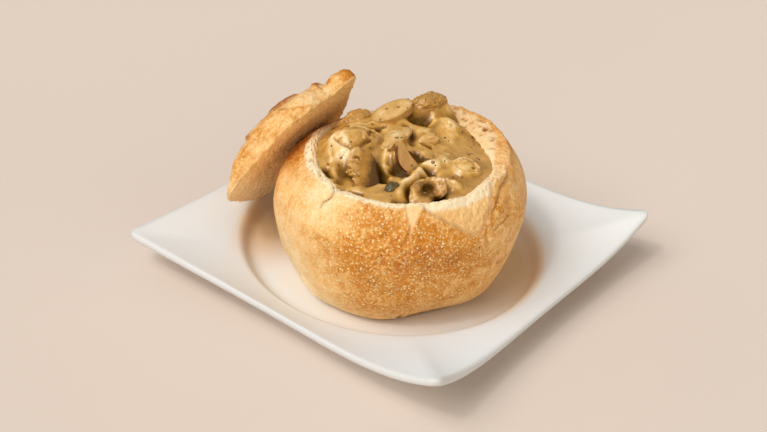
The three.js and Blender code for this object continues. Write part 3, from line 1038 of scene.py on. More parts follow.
        band = 0.20 + 0.62 * angle_bump(angle, -6, 38) - share - 0.1 * self.grain.smooth(torn, 3.0)
        golden = 0.75 * angle_bump(angle, 26, 80) ** 0.5 * fade(band, -0.08, 0.08)
        rim_tan = 0.05 + 0.42 * angle_bump(angle, 40, 80) + 0.3 * angle_bump(angle, 185, 60)
        rim_tan += 0.2 * self.grain.smooth(torn, 5.0)
        cut_values = {
            "speckle": (0.0, 0.0),
            # Painted shade on the hollow's wall below the rim.
            "crease": (0.0, 0.8 * fade(down, 0.0, 0.14)),
            "crumb": (1.0 - golden, 1.0),
            # Painted shade in the rim's pores and hole, darker towards the back right of the rim, and
            # painted shade in the hollow wall's pores.
            "pit": (0.7 * pit + 0.22 * angle_bump(angle, 40, 60), 0.7 * wall_pit),
            "tan": (rim_tan, 0.8),
        }
        for name, (of_rim, of_hollow) in cut_values.items():
            values[name] = np.where(on_rim, of_rim, np.where(in_hollow, of_hollow, values[name]))
        piece.hold(**values)
        piece.finish(spun(radius, turn, z), self.place(), material, Slot.BREAD, ["bread_bowl"])


@dataclass
class Lid:
    """The cut-off top, in its own frame with its crumb face down and its scored crust up.

    Its outline is the share of the radius at a few angles.
    It is drawn to a tab at the upper end and cornered at the lower one.
    """

    radius: float = 49.5
    edge: float = 10.5
    height: float = 22.0
    centre: Tuple[float, float, float] = (-61.8, 38.95, 49.6)
    faces: Tuple[float, float, float] = (0.75, -0.458, -0.476)
    shares: Tuple[Tuple[float, float], ...] = (
        (-180, 0.90), (-160, 0.93), (-146, 1.02), (-134, 1.14), (-118, 1.12), (-100, 1.11),
        (-75, 1.12), (-56, 1.11), (-38, 1.03), (-29, 1.05), (-25, 1.13), (-21, 1.20),
        (-16, 1.26), (-12, 1.19), (-7, 1.02), (4, 0.92), (20, 0.82), (45, 0.80),
        (75, 0.82), (110, 0.90), (140, 0.97), (180, 0.90),
    )
    notch: float = 42.0
    steps: int = 400
    row_spacing: float = 0.82
    grain: Grain = field(default_factory=lambda: Grain(23))

    def place(self, loaf: Loaf) -> Matrix:
        """The matrix from the lid's frame to the part's frame, in millimetres."""
        turn = Vector((0, 0, -1)).rotation_difference(Vector(self.faces).normalized())
        return loaf.place() @ Matrix.Translation(self.centre) @ turn.to_matrix().to_4x4()

    def outline(self, angle: Field) -> Field:
        """Share of the radius at each angle, with a torn waver on it."""
        around = spun(50.0, np.radians(angle), np.zeros(angle.shape))
        stations, shares = np.array(self.shares).T
        beside = [(angle + shift + 180) % 360 - 180 for shift in (-3.0, 0.0, 3.0)]
        softened = np.mean([np.interp(at, stations, shares) for at in beside], axis=0)
        return softened + 0.010 * self.grain.rough(around, 6.0)

    def flaps(self, x: Field, y: Field, z: Field) -> Tuple[Field, Field, Field]:
        """Relief of the overlapping scored flaps and of the notch below the tab.

        Args:
            x: Places along the lid's long way.
            y: Places across it.
            z: Heights above its crumb face.

        Returns:
            The relief, how near each spot is to a browned edge, and how torn and pale it is.
        """
        spots = np.column_stack([x, y, z])
        waver = 0.9 * self.grain.smooth(spots, 11.0) + 0.5 * self.grain.smooth(spots, 3.5)
        lower = 0.71 * (z + x - 9.0) + waver
        lip = 0.80 * (z + 0.74 * x - 26.7) + 0.7 * waver
        crest = np.interp(x, (10, 14, 20, 29, 36, 40, 42), (14, 16, 18, 18.8, 16, 12.5, 9))
        ridge = z + 0.5 * waver - crest
        past = x + 0.05 * y + 0.6 * waver - self.notch
        upper = fade(x, 10.0, 16.0) * fade(past, 1.0, -3.0) * fade(y, -4.0, -18.0)
        opened = fade(lip, -0.3, 0.9) * fade(ridge, -0.5, -1.8) * upper
        relief = 1.9 * fade(lower, -0.9, 0.6) - 0.04 * np.clip(lower, 0, 20) - 0.6 - 1.3 * opened
        relief += upper * (0.9 * bell(lip, -1.0, 1.4) + 1.3 * bell(ridge, -0.3, 1.5))
        relief += -5.5 * bump(past, 0.5, 4.6) + 0.4 * fade(past, 2.0, 6.0)
        ears = [
            upper * bell(ridge, -0.1, 1.4),
            0.6 * bell(lower, 0.4, 0.9) * fade(z, 10, 14),
            0.6 * bell(lip, -0.4, 0.7) * upper * bump(x, 27.0, 10.0),
            0.7 * fade(past, 8.0, 14.0),
            0.6 * bump(past, 3.6, 2.0) * fade(z, 5.0, 9.0),
        ]
        under_flap = 0.6 * bump(lower, -3.0, 3.5) * fade(x, -16, -4)
        torn = np.maximum.reduce([opened, under_flap, bump(past, 0.0, 5.0)])
        return relief, np.maximum.reduce(ears), torn

    def build(self, loaf: Loaf, material: bpy.types.Material) -> None:
        """Builds and dresses the lid.

        Args:
            loaf: The loaf that it leans on.
            material: The bread's finish.
        """
        reach = np.linspace(0.95, 0.0, 300)
        dome_z = self.edge + (self.height - self.edge) * (1 - reach**2.1)
        radius = np.concatenate([np.linspace(0, 0.98, 60), [0.988, 0.995, 1.0, 0.995], reach]) * self.radius
        height = np.concatenate([np.zeros(60), [0.35, 1.4, self.edge * 0.36, self.edge * 0.8], dome_z])
        radius, height = even_rows(radius, height, self.row_spacing)
        piece = Piece("cut_off_top", drum(len(radius), self.steps))
        row, turn = piece.rows_and_turns()
        angle = np.degrees(turn)
        share = radius[row] / self.radius
        out = radius[row] * (1 + (self.outline(angle) - 1) * fade(share, 0.0, 0.8))
        tapered = 0.84 * angle_bump(angle, -140, 36) + 0.30 * angle_bump(angle, -18, 17)
        points = spun(out, turn, height[row] * (1 - tapered * share**2))
        x, y, z = points.T

        on_crust = row > np.argmax(radius)
        top = np.maximum(fade(z, 0.8, 3.0), on_crust)
        flap, ear, torn = self.flaps(x, y, z)
        lifted = np.clip((z - 3.0) / (1.2 * self.edge), 0, 1)
        near, draw = self.grain.cells(points, 2.3)
        blister = dome(near, 0.6) * (draw > 0.35)
        baked = 0.35 * self.grain.rough(points, 6.0) + 0.16 * blister
        crust = flap * lifted + top * (baked + 0.4 * torn * self.grain.rough(points, 2.5))

        under = (1 - fade(z, 0.15, 0.7)) * ~on_crust
        pores, pore_draw = self.grain.cells(points, 3.0)
        small, small_draw = self.grain.cells(points + 90.0, 1.7)
        pit = dome(pores, 0.55) * (pore_draw > 0.6)
        pit = np.maximum(pit, 0.6 * dome(small, 0.55) * (small_draw > 0.45))
        strands = self.grain.rough(points * np.array([0.55, 1.0, 1.0]), 2.0)
        crumb = under * (0.55 * strands + 0.8 * self.grain.smooth(points, 16.0) + 0.7 * pit)
        fringe = bump(z, 0.0, 2.5) * fade(radius[row], self.radius * 0.9, self.radius)
        outwards = fade(z, self.edge * 1.6, self.edge * 0.8) * 0.6
        spread = 0.9 * fringe * self.grain.rough(points, 2.4) + crust * outwards
        points = points + spun(spread, turn, crust * (1 - 0.5 * outwards) + crumb)

        toast = 0.43 + 0.18 * fade(z, 4, 19) + 0.46 * ear - 0.12 * torn * (1 - ear)
        toast += 0.08 * fade(x, self.notch + 1, self.notch + 6) + 0.10 * self.grain.rough(points, 13.0)
        toast += 0.16 * self.grain.rough(points * np.array([0.3, 0.8, 1.0]), 2.4)
        soft = 1 - fade(z + 0.5 * self.grain.smooth(points, 2.0), 0.6, 1.8)
        # Share that grows from the lower end towards the loaf, for painted shade on the crumb face.
        deeper = fade(x + 6 * self.grain.smooth(points, 20.0), -34, -12)
        piece.hold(
            toast=toast,
            speckle=0.7 * top * (1 - ear),
            crease=0.42 * ear**4 * top,
            crumb=np.maximum(soft * ~on_crust, 0.12 * torn),
            # Painted shade in the crumb's pores, and its darker strands.
            pit=under * (0.26 * pit + 0.10 * fade(strands, 0.2, 0.9)),
            # The crumb face's tan is kept low, painted light, and grows towards the loaf, painted shade.
            tan=~on_crust * (0.34 + 0.36 * deeper),
        )
        piece.finish(points, self.place(loaf), material, Slot.BREAD, ["bread_lid"])


class Shade:
    """How far a spot on the stew lies below what is round it, which sets its painted shade.

    It is read off a grid of heights that is softened more and more.
    """

    reach = 62.0
    side = 256
    widths = ((1.3, 0.50), (3.2, 0.35), (8.0, 0.12))

    def __init__(self, height: Callable[[Field, Field], Field]) -> None:
        """Softens the heights.

        Args:
            height: The height at places across and along the loaf.
        """
        self.step = 2 * self.reach / self.side
        ticks = np.arange(self.side) * self.step - self.reach
        x, y = np.meshgrid(ticks, ticks, indexing="ij")
        wave = np.fft.rfft2(height(x.ravel(), y.ravel()).reshape(self.side, self.side))
        across = np.fft.fftfreq(self.side, self.step)[:, None]
        turns = np.hypot(across, np.fft.rfftfreq(self.side, self.step)[None, :])
        blurs = [np.exp(-2 * (math.pi * width * turns) ** 2) for width, _ in self.widths]
        self.soft = [np.fft.irfft2(wave * blur) for blur in blurs]

    def at(self, points: Field) -> Field:
        """The depth below the surroundings at points in the loaf's frame, negative where they stand out."""
        u = np.clip((points[:, :2] + self.reach) / self.step, 0, self.side - 1.001)
        i, j = u.astype(int).T
        f, g = (u % 1).T
        total = np.zeros(len(points))
        for soft, (_, share) in zip(self.soft, self.widths):
            near = soft[i, j] * (1 - f) * (1 - g) + soft[i + 1, j] * f * (1 - g)
            far = soft[i, j + 1] * (1 - f) * g + soft[i + 1, j + 1] * f * g
            total += share * (near + far - points[:, 2])
        return total


class Cut(Enum):
    """How a piece of the stew is cut."""

    LUMP = "lump"
    SLICE = "slice"
    CRESCENT = "crescent"
    TORN = "torn"
    CAP = "cap"


@dataclass(frozen=True)
class Fold:
    """A ridge or a dip in the sauce along a path, by its width, its height and its dark share: mostly
    painted shade in dips and, where negative, painted light on ridges and pools; a few are darker marks of
    the food itself.
    """

    path: Tuple[Tuple[float, float], ...]
    width: float
    height: float
    # Mostly painted shade, painted light where negative.
    dark: float = 0.0

    def over(self, x: Field, y: Field) -> Field:
        """Share of the fold at each place, 1 along its path."""
        u, v = self.path[0]
        path = self.path if len(self.path) > 1 else ((u, v), (u + 0.01, v))
        away, _ = along_path(x, y, path)
        return bell(away, 0.0, self.width)


@dataclass(frozen=True)
class Morsel:
    """A piece in the stew, by its middle, its turn in degrees, its half sizes and how it looks.

    The coat is the share of its height that the sauce climbs.
    The bare share is how much of its own colour shows.
    """

    node: str
    centre: Tuple[float, float, float]
    turn: Tuple[float, float, float]
    half: Tuple[float, float, float]
    cut: Cut
    slot: Slot
    coat: float = 1.0
    rough: float = 0.16
    bare: float = 0.02
    seed: int = 0
    dark: bool = False
    # Base level of the painted shade; a higher one also darkens the piece's own tone.
    deep: float = 0.29

    def spin(self) -> Matrix:
        """The piece's turn."""
        x, y, z = (math.radians(a) for a in self.turn)
        return Matrix.Rotation(x, 3, "X") @ Matrix.Rotation(y, 3, "Y") @ Matrix.Rotation(z, 3, "Z")

    def place(self, loaf: Loaf) -> Matrix:
        """The matrix from the piece's frame to the part's frame, in millimetres."""
        return loaf.place() @ Matrix.Translation(self.centre) @ self.spin().to_4x4()

    def cuts(self) -> Tuple[Field, Field]:
        """The flat cuts of a chunk.

        Returns:
            The way that each faces in the piece's frame, and its distance as a share of the half sizes.
        """
        draw = np.random.default_rng(200 + self.seed)
        ways = np.concatenate([draw.normal(size=(12, 3)), np.eye(3), -np.eye(3)])
        depths = np.concatenate([draw.uniform(0.72, 0.98, 12), np.ones(6)])
        return ways / np.linalg.norm(ways, axis=1)[:, None], depths

    def chopped(self, x: Field, y: Field) -> Field:
        """Height of a chunk's upper cuts, which go on downwards past its outline.

        Args:
            x: Places across the loaf.
            y: Places along it.

        Returns:
            The height.
        """
        ways, depths = self.cuts()
        faces = (ways / np.array(self.half)) @ np.array(self.spin()).T
        flat = np.linalg.norm(faces[:, :2], axis=1)
        seen = faces[:, 2] > -0.5 * flat
        faces, depths, flat = faces[seen], depths[seen], flat[seen]
        foot = faces * (depths / (faces**2).sum(axis=1))[:, None]
        steepest = 1.15 if self.coat == 1 else 0.8
        slope = faces[:, :2] / np.maximum(faces[:, 2], steepest * flat)[:, None]
        offset = np.stack([x - self.centre[0], y - self.centre[1]])
        levels = foot[:, 2:] + (slope * foot[:, :2]).sum(axis=1)[:, None] - slope @ offset
        return self.centre[2] - 0.9 * np.logaddexp.reduce(-levels / 0.9, axis=0) + 0.5

    def draped(self, x: Field, y: Field) -> Tuple[Field, Field]:
        """The sauce that hangs over the piece.

        Args:
            x: Places across the loaf.
            y: Places along it.

        Returns:
            The height of that sauce, and the height of the piece itself.
        """
        if self.cut is Cut.LUMP and self.slot is Slot.BEEF:
            top = self.chopped(x, y)
            return top + 0.5 - (1 - self.coat) * 2 * self.half[2], np.where(top > self.centre[2], top, 0.0)
        turn = np.array(self.spin())
        spread = (turn * np.array(self.half) ** 2) @ turn.T
        inverse = np.linalg.inv(spread[:2, :2])
        offset = np.stack([x - self.centre[0], y - self.centre[1]])
        form = np.einsum("in,ij,jn->n", offset, inverse, offset)
        lean = spread[2, :2] @ inverse
        tall = math.sqrt(max(spread[2, 2] - lean @ spread[:2, 2], 0.5))
        away = (np.sqrt(form) - 1) * math.sqrt(math.sqrt(np.linalg.det(spread[:2, :2])))
        lift = lean @ (offset / np.maximum(np.sqrt(form), 1.0))
        flank = 0.3 if self.coat == 1 else 0.0
        top = self.centre[2] + lift + tall * np.sqrt(np.maximum(1 - form, flank))
        top -= 0.9 * np.maximum(away, 0)
        low = (1 - self.coat) * (self.half[2] + 0.55 * tall)
        if self.cut is Cut.CAP and self.coat < 1:
            low += 0.85 * tall
        over = 1.3 if self.cut is Cut.CAP else 0.6
        return top + over * self.coat - low, np.where(form < 1, top, 0.0)

    def build(self, loaf: Loaf, shade: Shade, material: bpy.types.Material) -> bpy.types.Object:
        """Builds and dresses the piece.

        Args:
            loaf: The loaf that holds it.
            shade: How far each spot of the stew lies below what is round it, for its painted shade.
            material: Its finish.

        Returns:
            The object.
        """
        grain = Grain(100 + self.seed)
        if self.cut is Cut.CAP:
            piece, points, bare = self._cap(grain)
        else:
            piece = Piece("stew_" + self.node, ball(6 if self.cut is Cut.TORN else 5))
            way = piece.points / np.linalg.norm(piece.points, axis=1)[:, None]
            shaped = self._lump if self.cut is Cut.LUMP else self._slice
            points, bare = shaped(way, np.array(self.half), grain)
            points += way * (0.12 * grain.rough(points, 2.4))[:, None]
        lies = points @ np.array(self.spin()).T + np.array(self.centre)
        # Painted shade by how deep each spot lies, lighter where it stands out.
        deep = self.deep + 0.24 * np.clip(shade.at(lies), -0.5, 3.2) + 0.10 * grain.smooth(points, 5.0)
        piece.hold(bare=bare + 0.04 * grain.rough(points, 2.0), deep=deep)
        return piece.finish(points, self.place(loaf), material, self.slot, [self.node])

    def _lump(self, way: Field, half: Field, grain: Grain) -> Tuple[Field, Field]:
        """Shapes a chopped chunk: flat cuts with soft edges.

        Args:
            way: Directions from its middle.
            half: Its half sizes.
            grain: The noise of its surface.

        Returns:
            The vertices, and how bare each is.
        """
        if self.slot is Slot.BEEF:
            ways, depths = self.cuts()
            swell = ((np.maximum(way @ ways.T, 0) / depths) ** 12).sum(axis=1) ** (-1 / 12)
        else:
            swell = np.full(len(way), 0.97)
        uneven = grain.smooth(way, 0.5)
        swell *= 1 + self.rough * (0.5 * uneven + 0.35 * grain.rough(way, 0.24, 2))
        return way * swell[:, None] * half, self.bare * (1 + 0.25 * uneven)

    def _slice(self, way: Field, half: Field, grain: Grain) -> Tuple[Field, Field]:
        """Shapes a flat slice: an oval, a crescent with its skin on one side, or a torn one.

        Args:
            way: Directions from the slice's middle.
            half: Its half sizes.
            grain: The noise of its surface.

        Returns:
            The vertices, and how bare each is.
        """
        x, y, z = way.T
        around = np.maximum(np.hypot(x, y), 1e-6)
        spread = np.minimum(around * 1.12, 1.0) ** 0.8 / around
        flat = np.tanh(2.6 * z) / np.tanh(2.6)
        side = fade(np.abs(z), 0.85, 0.4)
        along, across = x * spread, y * spread
        if self.cut is Cut.CRESCENT:
            skin = fade(-across, 0.1, 0.6) * fade(np.abs(along), 1.05, 0.85)
            across = 0.55 * across - 0.58 * (1 - along**2) + 0.25
            bare = np.maximum(skin * side, 0.38 + 0.10 * grain.smooth(way, 0.4))
        elif self.cut is Cut.TORN:
            edge = fade(across, 0.25, 0.7)
            turn = np.arctan2(across, along)
            waves = 0.12 * np.sin(2 * turn + 0.4) + 0.10 * np.sin(3 * turn + 2.2) + 0.05 * np.sin(5 * turn)
            along = np.where(along > 0, 0.8, 1.0) * along * (1 + waves)
            across = across * (1 + waves)
            combed = np.column_stack([along * 6, 0 * along, 0.4 * z])
            teeth = edge * (1.4 * grain.smooth(combed, 1.0) + 0.3 * grain.smooth(way, 0.15))
            across = across + 0.36 * teeth + 0.15 * along
            flat = flat * (1 - 0.25 * along) + 0.14 * edge * (0.6 + teeth)
            bare = self.bare + 0.2 * grain.smooth(way, 0.5)
            # Darker towards one side, painted shade, and paler on the torn teeth, painted light.
            bare += 0.75 * fade(-across, -0.2, 0.8) - 0.3 * edge * (teeth > -0.1)
        else:
            across = across * (1 + 0.06 * grain.smooth(way, 0.6))
            bare = self.bare + 0.25 * side
        return np.column_stack([along, across, flat]) * half, bare

    def _cap(self, grain: Grain) -> Tuple[Piece, Field, Field]:
        """Shapes a small cap whose edge has curled in to a thick lip round a dark opening.

        Args:
            grain: The noise of its surface.

        Returns:
            The piece, its vertices, and how bare each is.
        """
        reach, tall = self.half[0], self.half[2]
        bends = [
            (0, -1), (0.3, -0.97), (0.55, -0.86), (0.76, -0.68), (0.9, -0.42), (0.98, -0.12),
            (1, 0.1), (0.95, 0.3), (0.84, 0.42), (0.62, 0.47), (0.4, 0.42), (0.27, 0.28),
            (0.2, 0.12), (0.17, 0.02), (0.13, -0.05), (0.07, -0.08), (0, -0.08),
        ]
        radius, height = even_rows(*(np.array(bends).T * np.array([[reach], [tall]])), 0.3)
        piece = Piece("stew_" + self.node, drum(len(radius), 144))
        row, turn = piece.rows_and_turns()
        share = radius[row] / reach
        upper = row > len(radius) * 0.5
        dish = fade(share, 0.30, 0.18) * upper
        gill = np.sin(turn * 22 + 0.7 * np.sin(turn * 4)) * upper
        gill *= fade(share, 0.3, 0.5) * fade(share, 0.95, 0.6)
        out = radius[row] * (1 + 0.20 * np.sin(2 * turn + 0.6) + 0.14 * np.sin(3 * turn + 2.0))
        waves = 0.16 * np.sin(turn + 2.4) + 0.20 * np.sin(2 * turn + 1.1) + 0.12 * np.sin(3 * turn)
        points = spun(out, turn, height[row] + 0.06 * gill + reach * waves * fade(share, 0.2, 0.9))
        points[:, :2] += reach * (1 - share)[:, None] * np.array([0.08, 0.22])
        points += 0.9 * grain.rough(points, 5.0)[:, None] * spun(1.0, turn, np.ones(len(turn)))
        bare = self.bare + 0.28 * dish + 0.05 * gill + 0.35 * grain.rough(points, 4.0)
        return piece, points, bare


@dataclass(frozen=True)
class Flecks:
    """Small bits of one kind that lie scattered over the stew."""

    name: str
    count: int
    size: float
    thick: float
    seed: int
    finish: FleckFinish


@dataclass
class Stew:
    """The cream sauce and everything in it, in the loaf's frame.

    Drape is how softly the sauce runs from one height to another where it hangs over a piece.
    """

    level: float = 76.4
    wall_gap: float = 0.3
    steps: int = 540
    top_rows: int = 160
    wall_rows: int = 6
    drape: float = 1.25
    scatter_reach: float = 45.0
    drop_height: float = 120.0
    grain: Grain = field(default_factory=lambda: Grain(37))
    # Each fold's last number paints shade into a dip, or light where it is negative.
    folds: Tuple[Fold, ...] = (
        Fold(((5.2, 21.5), (10.0, 22.5)), 4.2, -5.0, 1.2),
        Fold(((15.5, 27.0), (16.2, 23.5), (14.0, 20.5)), 1.3, 0.7, -0.6),
        Fold(((24.0, 2.0), (31.0, -6.0)), 9.0, 0.0, -0.26),
        Fold(((3.2, 12.5), (5.6, 8.0), (4.6, 1.0)), 2.4, -2.0, 0.25),
        Fold(((0.7, 13.6), (2.7, 7.2)), 2.6, -1.8, 0.7),
        Fold(((-8.5, -10.0), (-9.5, -17.0), (-9.0, -21.5)), 2.0, 1.8, -0.15),
        Fold(((-6.0, -22.0), (-5.5, -28.0)), 1.7, 2.0, -0.1),
        Fold(((-2.2, -22.5), (3.0, -24.5)), 2.4, -3.8, 0.75),
        Fold(((10.7, -21.6), (6.8, -28.0), (2.5, -33.0), (1.4, -39.5)), 3.0, 2.8, -0.2),
        Fold(((12.8, -15.5), (19.6, -16.2)), 2.3, 2.2, -0.2),
        Fold(((12.0, -8.6), (17.3, -9.8)), 0.9, -0.9, 0.5),
        Fold(((13.5, -25.5), (18.0, -26.0)), 2.4, -4.2, 0.8),
        Fold(((11.0, 2.2), (15.5, 1.6)), 1.0, -1.6, 0.7),
        Fold(((-37.5, -3.0), (-33.0, -8.6), (-28.0, -11.0), (-22.5, -8.5), (-18.0, -3.5)), 1.1, -1.5, 0.45),
        Fold(((-14.2, 8.6),), 1.5, -2.4, 0.9),
        Fold(((-17.6, 5.0),), 1.6, -2.4, 0.9),
        Fold(((-18.0, 9.5), (-11.0, 11.5)), 1.2, -1.4, 0.5),
        Fold(((-11.5, -24.5), (-10.5, -29.0)), 2.2, -3.0, 1.0),
        Fold(((-5.6, -23.0), (-5.8, -26.6)), 1.5, -1.6, 0.9),
        Fold(((8.0, -7.5), (11.5, -12.5)), 2.0, -2.2, 0.8),
        Fold(((13.5, -19.5), (17.5, -21.5)), 1.8, -2.4, 0.9),
        Fold(((-11.5, -0.5), (-13.0, -4.0)), 1.6, 0.0, 0.35),
        Fold(((14.5, -40.0),), 9.0, -8.0, 0.3),
        Fold(((0.5, -48.0), (5.0, -48.2)), 2.6, -7.0, 0.9),
        Fold(((-27.5, -42.0), (-20.0, -44.5)), 1.8, -4.0, 0.7),
        Fold(((-40.0, -24.0), (-37.5, -28.0)), 2.4, -5.0, 0.8),
        Fold(((26.0, -0.7),), 1.9, 0.9, 0.25),
        Fold(((22.0, 4.5), (25.0, 5.5)), 1.8, 0.7),
        Fold(((29.5, -31.5), (25.0, -26.0)), 2.6, 2.0, -0.2),
        Fold(((20.5, -21.0), (27.5, -17.0), (33.0, -18.0)), 2.4, 1.1),
        Fold(((31.3, -12.6), (34.4, -13.4), (37.3, -10.2), (34.2, -8.6), (31.3, -12.6)), 0.9, -0.15, 0.35),
        Fold(((-31.0, 17.0), (-22.0, 13.0), (-16.0, 15.5)), 2.2, 1.4),
        Fold(((-38.0, 2.0), (-40.5, -8.0), (-37.5, -17.0)), 1.5, 1.1, -0.1),
        Fold(((-35.5, -6.0), (-33.0, -15.0)), 4.5, 0.0, -0.9),
        Fold(((14.0, 31.0),), 9.0, 1.0),
        Fold(((-5.0, 2.0),), 7.0, 0.0, -0.35),
        Fold(((-26.5, 4.0), (-19.0, 1.5)), 2.4, -0.8, 0.6),
        Fold(((-27.0, -1.0),), 8.0, -0.8, 0.28),
        Fold(((-9.5, -26.0), (-8.0, -31.0)), 2.6, -2.4, 0.8),
        Fold(((-31.0, -19.0), (-31.5, -33.0)), 3.2, -3.0),
    )
    morsels: Tuple[Morsel, ...] = (
        Morsel(
            "beef_top", (12, 34.5, 91.0), (8, -6, 12), (11, 7, 5.2), Cut.LUMP, Slot.BEEF,
            coat=0.75, rough=0.26, bare=0.24, seed=1, deep=0.44,
        ),
        Morsel("beef_back", (25, 24, 83.4), (0, 16, -30), (8, 5.5, 5), Cut.LUMP, Slot.BEEF, seed=2),
        Morsel(
            "beef_left_back", (-26.5, 25.5, 81.4), (6, -8, 18), (9, 5.5, 4.2), Cut.LUMP, Slot.BEEF,
            coat=0.85, rough=0.3, bare=0.28, seed=3, deep=0.36,
        ),
        Morsel("beef_middle", (-5, 1, 82.4), (0, -12, 72), (12.5, 8, 6.4), Cut.LUMP, Slot.BEEF, seed=4),
        Morsel(
            "beef_front", (-19.5, -26.5, 79.6), (46, 10, 84), (12, 8, 4.8), Cut.TORN, Slot.BEEF,
            coat=0.3, bare=0.40, seed=5,
        ),
        Morsel("beef_right", (21, -11, 79), (0, 8, 35), (7.5, 4.8, 4.2), Cut.LUMP, Slot.BEEF, seed=6),
        Morsel("beef_rim", (29, -30, 76.8), (12, 10, -20), (5.5, 4, 3.6), Cut.LUMP, Slot.BEEF, seed=7),
        Morsel("beef_tip", (14, 7, 82), (0, -12, 10), (6.4, 4.2, 4), Cut.LUMP, Slot.BEEF, seed=8),
        Morsel(
            "mushroom_slice_top", (-7.5, 23.5, 88.4), (9, -12, 36), (13, 7.3, 2.6), Cut.SLICE,
            Slot.MUSHROOM, coat=0.45, bare=0.08, seed=9,
        ),
        Morsel(
            "mushroom_slice_middle", (4, -16, 82.4), (52, 24, -44), (11.5, 7.6, 2.5), Cut.CRESCENT,
            Slot.MUSHROOM, coat=0.05, seed=10,
        ),
        Morsel(
            "mushroom_half", (-27.5, -1, 82), (10, -8, 30), (10.5, 8.8, 6.2), Cut.LUMP, Slot.MUSHROOM,
            seed=11, deep=0.34,
        ),
        Morsel(
            "mushroom_cap_front", (14.5, -38.9, 77.2), (32, 6, 20), (9.4, 9.4, 7.4), Cut.CAP, Slot.MUSHROOM,
            coat=0.0, bare=0.27, seed=12, deep=0.20,
        ),
        Morsel(
            "mushroom_cap_right", (35, -12, 76.4), (16, 10, 0), (6.5, 6.5, 4.5), Cut.CAP, Slot.MUSHROOM,
            bare=0.0, seed=13,
        ),
        Morsel(
            "mushroom_stem_front", (-3.8, -38.0, 77.6), (24, 0, 40), (4.4, 3, 2.6), Cut.LUMP, Slot.MUSHROOM,
            coat=0.2, rough=0.2, bare=0.7, seed=14, dark=True,
        ),
    )
    flecks: Tuple[Flecks, ...] = (
        Flecks(
            "pepper_flecks", count=110, size=0.75, thick=0.35, seed=5,
            finish=FleckFinish("ground_pepper", tone(118, 86, 46), tone(66, 48, 28)),
        ),
        Flecks(
            "herb_flecks", count=44, size=1.6, thick=0.35, seed=6,
            finish=FleckFinish("chopped_herb", tone(98, 92, 42), tone(60, 62, 30)),
        ),
        Flecks(
            "chopped_bits", count=46, size=3.0, thick=0.6, seed=7,
            finish=FleckFinish("chopped_mushroom", tone(176, 126, 62), tone(112, 74, 36)),
        ),
    )

    def surface(self, loaf: Loaf, x: Field, y: Field) -> Tuple[Field, Field, Field]:
        """Height of the sauce, with its folds and the way it hangs over each piece.

        Args:
            loaf: The loaf that holds it.
            x: Places across the loaf.
            y: Places along it.

        Returns:
            The height, the height with the pieces that stand out of it, and the folds' dark share at each
            spot: mostly painted shade, painted light where negative.
        """
        def mound(height: float, cx: float, cy: float, wx: float, wy: float) -> Field:
            """A smooth heap."""
            return height * np.exp(-(((x - cx) / wx) ** 2) - ((y - cy) / wy) ** 2)

        flat = np.column_stack([x, y, np.zeros(x.shape)])
        heap = mound(11.5, 2, 25, 25, 24) + mound(5.5, -25, 8, 17, 22) + mound(3.2, 2, -12, 22, 16)
        reach = np.hypot(x, y)
        wall = np.minimum(reach / loaf.hollow_radius, 1) ** 7
        dip = np.minimum(loaf.rim_rise(np.degrees(np.arctan2(y, x))), 0)
        calm = 1 - 0.55 * fade(x - 0.3 * y, 16.0, 30.0)
        ripple = 0.9 * self.grain.smooth(flat, 12.0) + 0.6 * self.grain.smooth(flat + 40, 5.5)
        ripple += 0.16 * self.grain.smooth(flat, 2.2)
        crease = 0.9 * np.abs(self.grain.smooth(flat * np.array([1.0, 0.8, 1.0]) + 90, 9.0))
        height = self.level + (heap + calm * (ripple - crease + 0.3)) * (1 - wall) + dip * wall
        cling = 0.9 * self.grain.smooth(flat + 20, 8.0) + 0.7 * self.grain.smooth(flat + 80, 4.5)
        cling += 0.2 * self.grain.smooth(flat + 60, 1.9)
        crest = np.zeros(x.shape)
        dark = np.zeros(x.shape)
        for morsel in self.morsels:
            over, top = morsel.draped(x, y)
            crest = np.maximum(crest, top)
            over = over + cling
            joint = self.drape * np.log1p(np.exp(-np.abs(height - over) / self.drape))
            height = np.maximum(height, over) + joint * (1 - wall)
        for fold in self.folds:
            share = fold.over(x, y)
            height = height + fold.height * share
            # Mostly painted shade in the dips, painted light on pale ridges and pools.
            dark = dark + fold.dark * share
        return height, np.maximum(height, crest), np.clip(dark, -1.0, 1.0)

    def sauce(self, loaf: Loaf, shade: Shade, material: bpy.types.Material) -> bpy.types.Object:
        """Builds and dresses the sauce.

        Args:
            loaf: The loaf that holds it.
            shade: How far each spot of the stew lies below what is round it, for its painted shade.
            material: The sauce's finish.

        Returns:
            The object.
        """
        rows = self.top_rows + self.wall_rows + 1
        piece = Piece("cream_sauce", drum(rows, self.steps))
        row, turn = piece.rows_and_turns()
        angle = np.degrees(turn)
        lip = loaf.rim - loaf.rim_drop
        edge = loaf.hollow(angle, np.full(angle.shape, lip)) + self.wall_gap
        share = np.clip(row / (self.top_rows - 1), 0, 1)
        x, y = share * edge * np.cos(turn), share * edge * np.sin(turn)
        z, _, dark = self.surface(loaf, x, y)
        depth = shade.at(np.column_stack([x, y, z]))
        down = np.clip((row - self.top_rows + 1) / self.wall_rows, 0, 1)
        start = lip - 9.0
        wall_z = start - (start - loaf.hollow_floor - 3) * down
        under = loaf.hollow(angle, wall_z) - 0.5
        on_wall = row >= self.top_rows
        x = np.where(on_wall, under * np.cos(turn), x)
        y = np.where(on_wall, under * np.sin(turn), y)
        z = np.where(on_wall, wall_z, z)
        points = np.column_stack([x, y, z])
        points[row == rows - 1] = (0.0, 0.0, loaf.hollow_floor + 0.4)
        # Painted shade by how deep each spot lies and by the folds, lighter where it stands out.
        deep = 0.31 + 0.34 * np.clip(depth, -0.45, 2.4) + 0.45 * dark
        deep += 0.12 * self.grain.smooth(points, 11.0)
